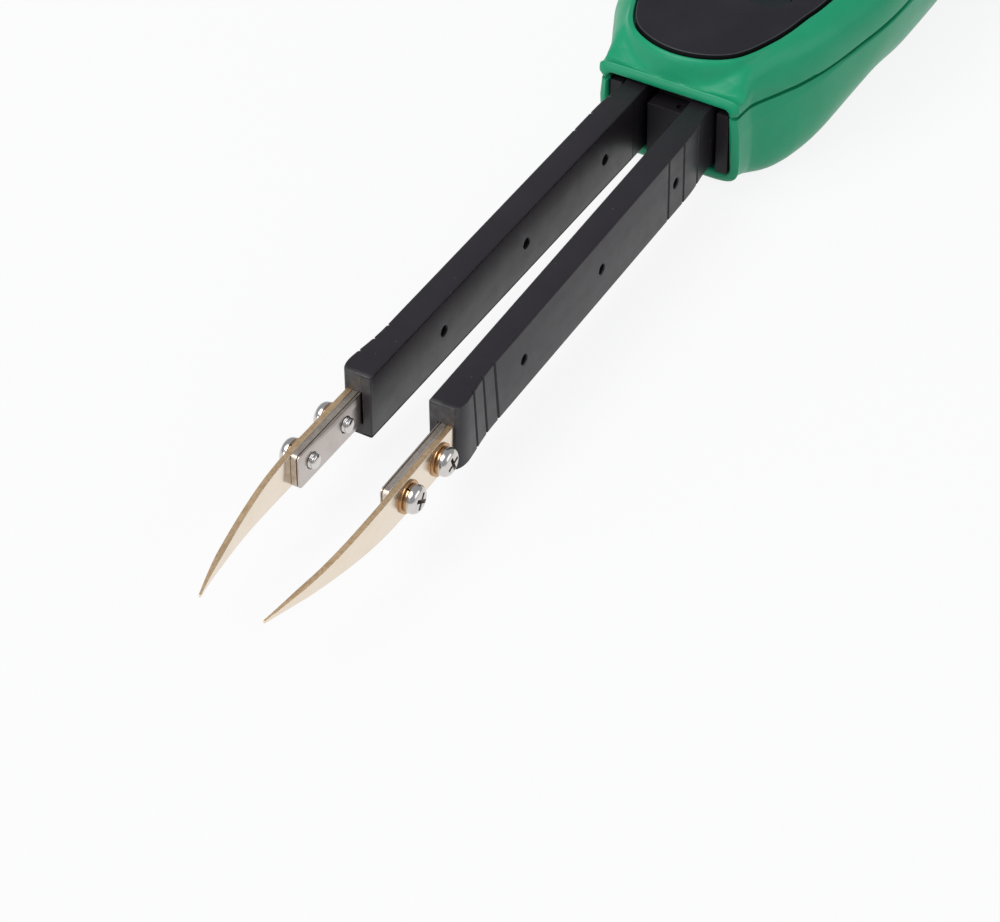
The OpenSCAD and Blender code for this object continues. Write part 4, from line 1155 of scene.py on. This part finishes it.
def plated(name, colour, cloud, rough, streak_axis=(0.06, 1.0, 1.0), pits=0.4, edges=0.0, relief=9e-7):
    """Bright plating in sRGB colours: fine streaks, faint clouds and small pits."""
    f = Finish(name, linear(*colour), rough, metallic=1.0)
    if edges:
        f.soft_edges(edges)
    streaks = f.noise(1500, 5, 0.7, stretch=streak_axis)
    f.mottle(cloud, 220, 4, 0.6, 0.4, 0.8, 0.55)
    pit = tuple(0.45 * c for c in linear(*cloud)[:3]) + (1.0,)
    f.tint(f.spread(f.noise(3400, 3, 0.7), 0.7, 0.86, 0.0, pits), pit)
    f.roughen(streaks, 0.07)
    f.bump(streaks, relief)
    f.bump(f.noise(320, 2, 0.5), 13 * relief)
    return f.done()


def cut_edge(name, colour, cloud):
    """The torn edge that a punch leaves on plated sheet."""
    f = Finish(name, linear(*colour), 0.42, metallic=1.0)
    f.mottle(cloud, 1700, 5, 0.75, 0.42, 0.6, 0.9)
    grain = f.noise(4200, 4, 0.7, stretch=(1.0, 0.35, 1.0))
    f.roughen(grain, 0.14)
    f.bump(grain, 1.5e-5)
    return f.done()


def board_lacquer():
    f = Finish("board_lacquer", linear(24, 84, 52), 0.3)
    f.soft_edges(1e-4)
    traces = f.node("ShaderNodeTexBrick", {
        "Vector": f.where, "Scale": 260.0, "Mortar Size": 0.06, "Brick Width": 1.3, "Row Height": 0.4,
        "Color1": (0, 0, 0, 1), "Color2": (0, 0, 0, 1), "Mortar": (1, 1, 1, 1)
    }).outputs[0]
    f.tint(traces, linear(52, 122, 74))
    f.bump(traces, 2e-5)
    return f.done()


def rubber_strip():
    """Conducting rubber: thin dark layers in a pale body."""
    f = Finish("rubber_strip", linear(196, 190, 196), 0.6)
    layers = {"Vector": f.where, "Scale": 900.0}
    wave = f.node("ShaderNodeTexWave", layers, wave_type="BANDS", bands_direction="X").outputs[1]
    f.tint(f.spread(wave, 0.4, 0.6), linear(42, 40, 44))
    f.bump(wave, 1e-5)
    return f.done()


def window_plastic():
    f = Finish("window_plastic", (0.86, 0.9, 0.9, 1), 0.04, transmission=1.0, ior=1.49)
    f.roughen(f.noise(240, 5, 0.7), 0.03)
    f.bump(f.noise(120, 2, 0.5), 4e-6)
    return f.done()


def display_back():
    """The grey-green reflector of a liquid crystal display, with its fine pixel sheen."""
    f = Finish("display_back", linear(146, 158, 138), 0.32, level=0.35)
    f.soft_edges(1e-4)
    f.mottle((154, 166, 146), 60, 3, 0.5, 0.35, 0.7)
    f.mottle((132, 146, 126), 5200, 1, 0.5, 0.5, 0.8, 0.35)
    f.bump(f.noise(5200, 1, 0.5), 1.5e-6)
    return f.done()


def display_ink():
    f = Finish("display_ink", linear(34, 38, 40), 0.42)
    f.mottle((44, 49, 50), 900, 3, 0.6, 0.4, 0.7)
    f.bump(f.noise(2600, 2, 0.5), 1e-6)
    return f.done()


def sleeve(name, colour, lighter):
    """Soft wire insulation."""
    f = Finish(name, linear(*colour), 0.42)
    f.mottle(lighter, 700, 3, 0.6, 0.4, 0.7)
    f.bump(f.noise(2600, 3, 0.6), 4e-6)
    return f.done()


green = green_plastic()
panel_black = panel_plastic()
# The lighter copy of the panel's plastic, on its rounded top edge, is a painted highlight.
panel_highlight_black = dark_plastic("panel_painted_highlight_plastic", (62, 60, 65), 0.45, 0.3)
# The darker copy, on the panel's steep sides, is painted shade.
panel_shade_black = dark_plastic("panel_painted_shade_plastic", (17, 20, 20), 0.6, 0.12)
arm_black = arm_plastic()
cover_black = arm_plastic("cover_plastic", 2)
yoke_black = dark_plastic("yoke_plastic", (30, 27, 31), 0.5, 0.3)
holder_black = dark_plastic("holder_plastic", (40, 40, 43))
button_black = dark_plastic("button_plastic", (22, 31, 32), 0.46, 0.4)
chip_black = dark_plastic("chip_plastic", (34, 34, 36), 0.4)
steel = plated("strip_steel", (196, 188, 183), (172, 162, 156), 0.3, relief=3e-7)
steel_edge = cut_edge("strip_edge", (206, 196, 184), (184, 172, 160))
gold = plated("blade_gold", (235, 222, 205), (224, 208, 186), 0.22, pits=0.06)
gold_edge = cut_edge("blade_edge", (242, 210, 170), (220, 186, 144))
washer_gold = plated("washer_gold", (190, 154, 116), (164, 126, 88), 0.24, EVEN, edges=4e-5)
screw_nickel = plated("screw_nickel", (214, 211, 208), (178, 172, 168), 0.2, EVEN)
# Darker nickel for the cross recesses: painted shade.
recess_shade_nickel = plated("screw_recess_painted_shade", (142, 130, 124), (104, 92, 86), 0.4, EVEN)
dark_screw = plated("case_screw_steel", (120, 120, 124), (86, 86, 90), 0.32, EVEN, edges=8e-5)
pin_steel = plated("pin_steel", (196, 196, 198), (160, 160, 164), 0.24, (1.0, 1.0, 0.05), edges=8e-5)
spring_steel = plated("spring_wire", (176, 176, 180), (132, 132, 138), 0.28, EVEN)
cell_steel = plated("cell_steel", (206, 206, 208), (178, 178, 182), 0.26, (1.0, 0.08, 1.0), edges=1.5e-4)
contact_brass = plated("contact_plating", (214, 204, 176), (184, 172, 140), 0.25, edges=8e-5)


# Pieces in place of the plain solids

def normals(obj):
    return np.array([f.normal for f in obj.data.polygons])


def finish_cut_edges(obj):
    """The second material on faces that don't look along Y, which are the cut edges."""
    finishes(obj, np.abs(normals(obj)[:, 1]) < 0.55)


dress(upper_shell(), "case", "upper_shell", green, 24)
dress(lower_shell(), "case", "lower_shell", green, 24)
dress(battery_door(), "battery_door", "battery_door", green, 24)
panel_finishes = [panel_black, panel_shade_black, panel_highlight_black]
panel = dress(face_panel(), "case", "face_panel", panel_finishes, 24)
# Steep side faces take the painted shade, the rounded top edge the painted highlight, and the flat top the
# plain plastic.
steep = np.abs(normals(panel)[:, 2])
finishes(panel, np.where(steep < 0.25, 1, np.where(steep < 0.97, 2, 0)))

for side in (1, -1):
    hand = word(side)
    arm = f"{hand}_arm"
    dress(button(side), f"{hand}_button", f"{hand}_button", button_black, 30)
    dress(arm_channel(side), arm, f"{hand}_arm_channel", arm_black, 24)
    dress(arm_cover(side), arm, f"{hand}_arm_cover", cover_black, 24)
    strip = electrode_strip(side)
    finish_cut_edges(dress(strip, arm, f"{hand}_electrode_strip", [steel, steel_edge], 30))
    blade = tip_blade(side)
    finish_cut_edges(dress(blade, arm, f"{hand}_tip_blade", [gold, gold_edge], 30))
    screws = tip_screws(side)
    dress(screws, arm, f"{hand}_tip_screws", [screw_nickel, recess_shade_nickel], 28)
    recess_finish(screws, side)
    rings = (
        ("spring_washers", FLAT_WASHER_T, SPRING_WASHER_T, SPRING_WASHER_R, WASHER_GAP_AT),
        ("flat_washers", 0, FLAT_WASHER_T, FLAT_WASHER_R, None),
    )
    for name, low, thick, outer, gap_at in rings:
        piece = ring_piece(f"{hand}_{name}_dress", side, low, thick, outer, WASHER_HOLE_R, gap_at)
        dress(piece, arm, f"{hand}_{name}", washer_gold, 30)


# Display

def bar_outline(start, end, x):
    """One bar of a seven-bar digit as (x, y) points, from its ends in the digit's own frame."""
    (u0, v0), (u1, v1) = start, end
    length = math.hypot(u1 - u0, v1 - v0)
    du, dv = (u1 - u0) / length, (v1 - v0) / length
    far, half = length - DIGIT_GAP, DIGIT_BAR / 2
    pts = []
    for along, off in ((DIGIT_GAP, 0), (DIGIT_GAP + half, half), (far - half, half), (far, 0),
                       (far - half, -half), (DIGIT_GAP + half, -half)):
        u, v = u0 + du * along - dv * off, v0 + dv * along + du * off
        pts.append((x + u + DIGIT_SLANT * v, v - DIGIT_H / 2))
    return pts


def display_digits():
    """The dark bars of a reading of zero, 0.000, a hair above the glass."""
    h, w = DIGIT_H, DIGIT_W
    zero = (
        ((0, h), (w, h)), ((w, h / 2), (w, h)), ((w, 0), (w, h / 2)), ((0, 0), (w, 0)),
        ((0, 0), (0, h / 2)), ((0, h / 2), (0, h))
    )
    outlines = []
    for k in range(4):
        x = WINDOW_X + (WINDOW_L - 3 * DIGIT_PITCH - w - DIGIT_SLANT * h) / 2 + k * DIGIT_PITCH
        outlines += [bar_outline(start, end, x) for start, end in zero]
        if k == 0:
            cx, cy = x + (DIGIT_PITCH + w) / 2, 0.1 - h / 2
            turn = np.linspace(0, 2 * math.pi, 16, endpoint=False)
            outlines.append([(cx + POINT_R * math.cos(a), cy + POINT_R * math.sin(a)) for a in turn])
    verts, faces = [], []
    for outline in outlines:
        shape, sides = loft([at_z(outline, CEILING_Z + z) for z in (0.01, 0.03)])
        faces += [tuple(len(verts) + v for v in face) for face in sides]
        verts += shape.tolist()
    return make("display_digits", (np.array(verts), faces))


dress(display_digits(), "case", None, display_ink(), 30)


# Finishes of the nodes that stay

KEPT = {
    "display_window": window_plastic(), "display_glass": display_back(),
    "display_contact_strips": rubber_strip(), "circuit_board": board_lacquer(),
    "board_components": chip_black, "board_screws": dark_screw, "left_button_switch": holder_black,
    "right_button_switch": holder_black, "battery_holder": holder_black, "coin_cell": cell_steel,
    "battery_contact_clip": contact_brass, "battery_contact_spring": contact_brass,
    "case_screws": dark_screw, "arm_yoke": yoke_black, "left_pivot_pin": pin_steel,
    "right_pivot_pin": pin_steel, "left_return_spring": spring_steel, "right_return_spring": spring_steel,
    "left_signal_lead": sleeve("red_sleeve", (176, 34, 30), (196, 48, 42)),
    "right_signal_lead": sleeve("black_sleeve", (36, 36, 38), (52, 52, 54)),
}
for name, material in KEPT.items():
    node = frame["nodes"][name]
    node.data.materials.clear()
    node.data.materials.append(material)
    shade(node, 32)


# Floor, light and camera

def paper():
    """White paper that shows the object's shadow and reads white to camera, metal and glass."""
    material = bpy.data.materials.new("paper")
    tree = empty_tree(material)
    path = add_node(tree, "ShaderNodeLightPath").outputs

    def math_node(a, b, operation):
        return add_node(tree, "ShaderNodeMath", {0: a, 1: b}, operation=operation).outputs[0]

    clear = math_node(path["Is Glossy Ray"], path["Is Transmission Ray"], "MAXIMUM")
    share = math_node(math_node(path["Is Camera Ray"], clear, "MAXIMUM"), WHITE_SHARE, "MULTIPLY")
    diffuse = add_node(tree, "ShaderNodeBsdfDiffuse", {0: (FLOOR_TONE, FLOOR_TONE, FLOOR_TONE, 1)})
    white = add_node(tree, "ShaderNodeEmission", {0: (1, 1, 1, 1)})
    mix = add_node(tree, "ShaderNodeMixShader", {0: share, 1: diffuse.outputs[0], 2: white.outputs[0]})
    add_node(tree, "ShaderNodeOutputMaterial", {0: mix.outputs[0]})
    return material


def floor():
    size, z = 6.0, -0.0002
    corners = [(-size, -size, z), (size, -size, z), (size, size, z), (-size, size, z)]
    mesh = bpy.data.meshes.new("floor")
    mesh.from_pydata(corners, [], [(0, 1, 2, 3)])
    mesh.materials.append(paper())
    obj = placed("floor", mesh)


def softbox(name, place, width, height, power):
    light = bpy.data.lights.new(name, "AREA")
    light.shape = "RECTANGLE"
    light.size, light.size_y, light.energy = width, height, power
    obj = placed(name, light)
    obj.location = place
    obj.rotation_mode = "QUATERNION"
    obj.rotation_quaternion = (Vector(LIGHT_AIM) - Vector(place)).to_track_quat("-Z", "Y")


def world():
    studio = bpy.data.worlds.new("studio")
    bpy.context.scene.world = studio
    tree = empty_tree(studio)
    room = add_node(tree, "ShaderNodeBackground", {0: ROOM_COLOUR, 1: ROOM_STRENGTH})
    add_node(tree, "ShaderNodeOutputWorld", {0: room.outputs[0]})


def camera():
    """The photograph's viewpoint, from its own perspective."""
    turn, tilt, roll = (math.radians(angle) for angle in (VIEW_TURN, VIEW_RISE, VIEW_ROLL))
    unit = ARM_H / 10
    back = np.array([
        math.sin(turn) * math.cos(tilt), -math.cos(turn) * math.cos(tilt), math.sin(tilt)
    ])
    level = np.array([math.cos(turn), math.sin(turn), 0])
    up = np.cross(back, level)
    right = math.cos(roll) * level + math.sin(roll) * up
    above = -math.sin(roll) * level + math.cos(roll) * up
    data = bpy.data.cameras.new("camera")
    data.sensor_width = 36
    data.lens = VIEW_LENS
    data.clip_start, data.clip_end = 0.01, 50
    obj = placed("camera", data)
    m = Matrix(np.column_stack([right, above, back]).tolist()).to_4x4()
    m.translation = Vector(to_part((np.array(VIEW_AIM) + VIEW_DISTANCE * back) * unit))
    obj.matrix_world = m
    bpy.context.scene.camera = obj


floor()
world()
camera()
softbox("key_light", (-0.46, 0.27, 0.8), 0.6, 0.6, 5.6)
softbox("side_light", (0.15, -0.85, 0.45), 0.9, 0.5, 1.9)
softbox("front_light", (-0.88, 0.38, 0.2), 0.3, 0.26, 1.1)
bpy.context.scene.view_settings.view_transform = "Standard"
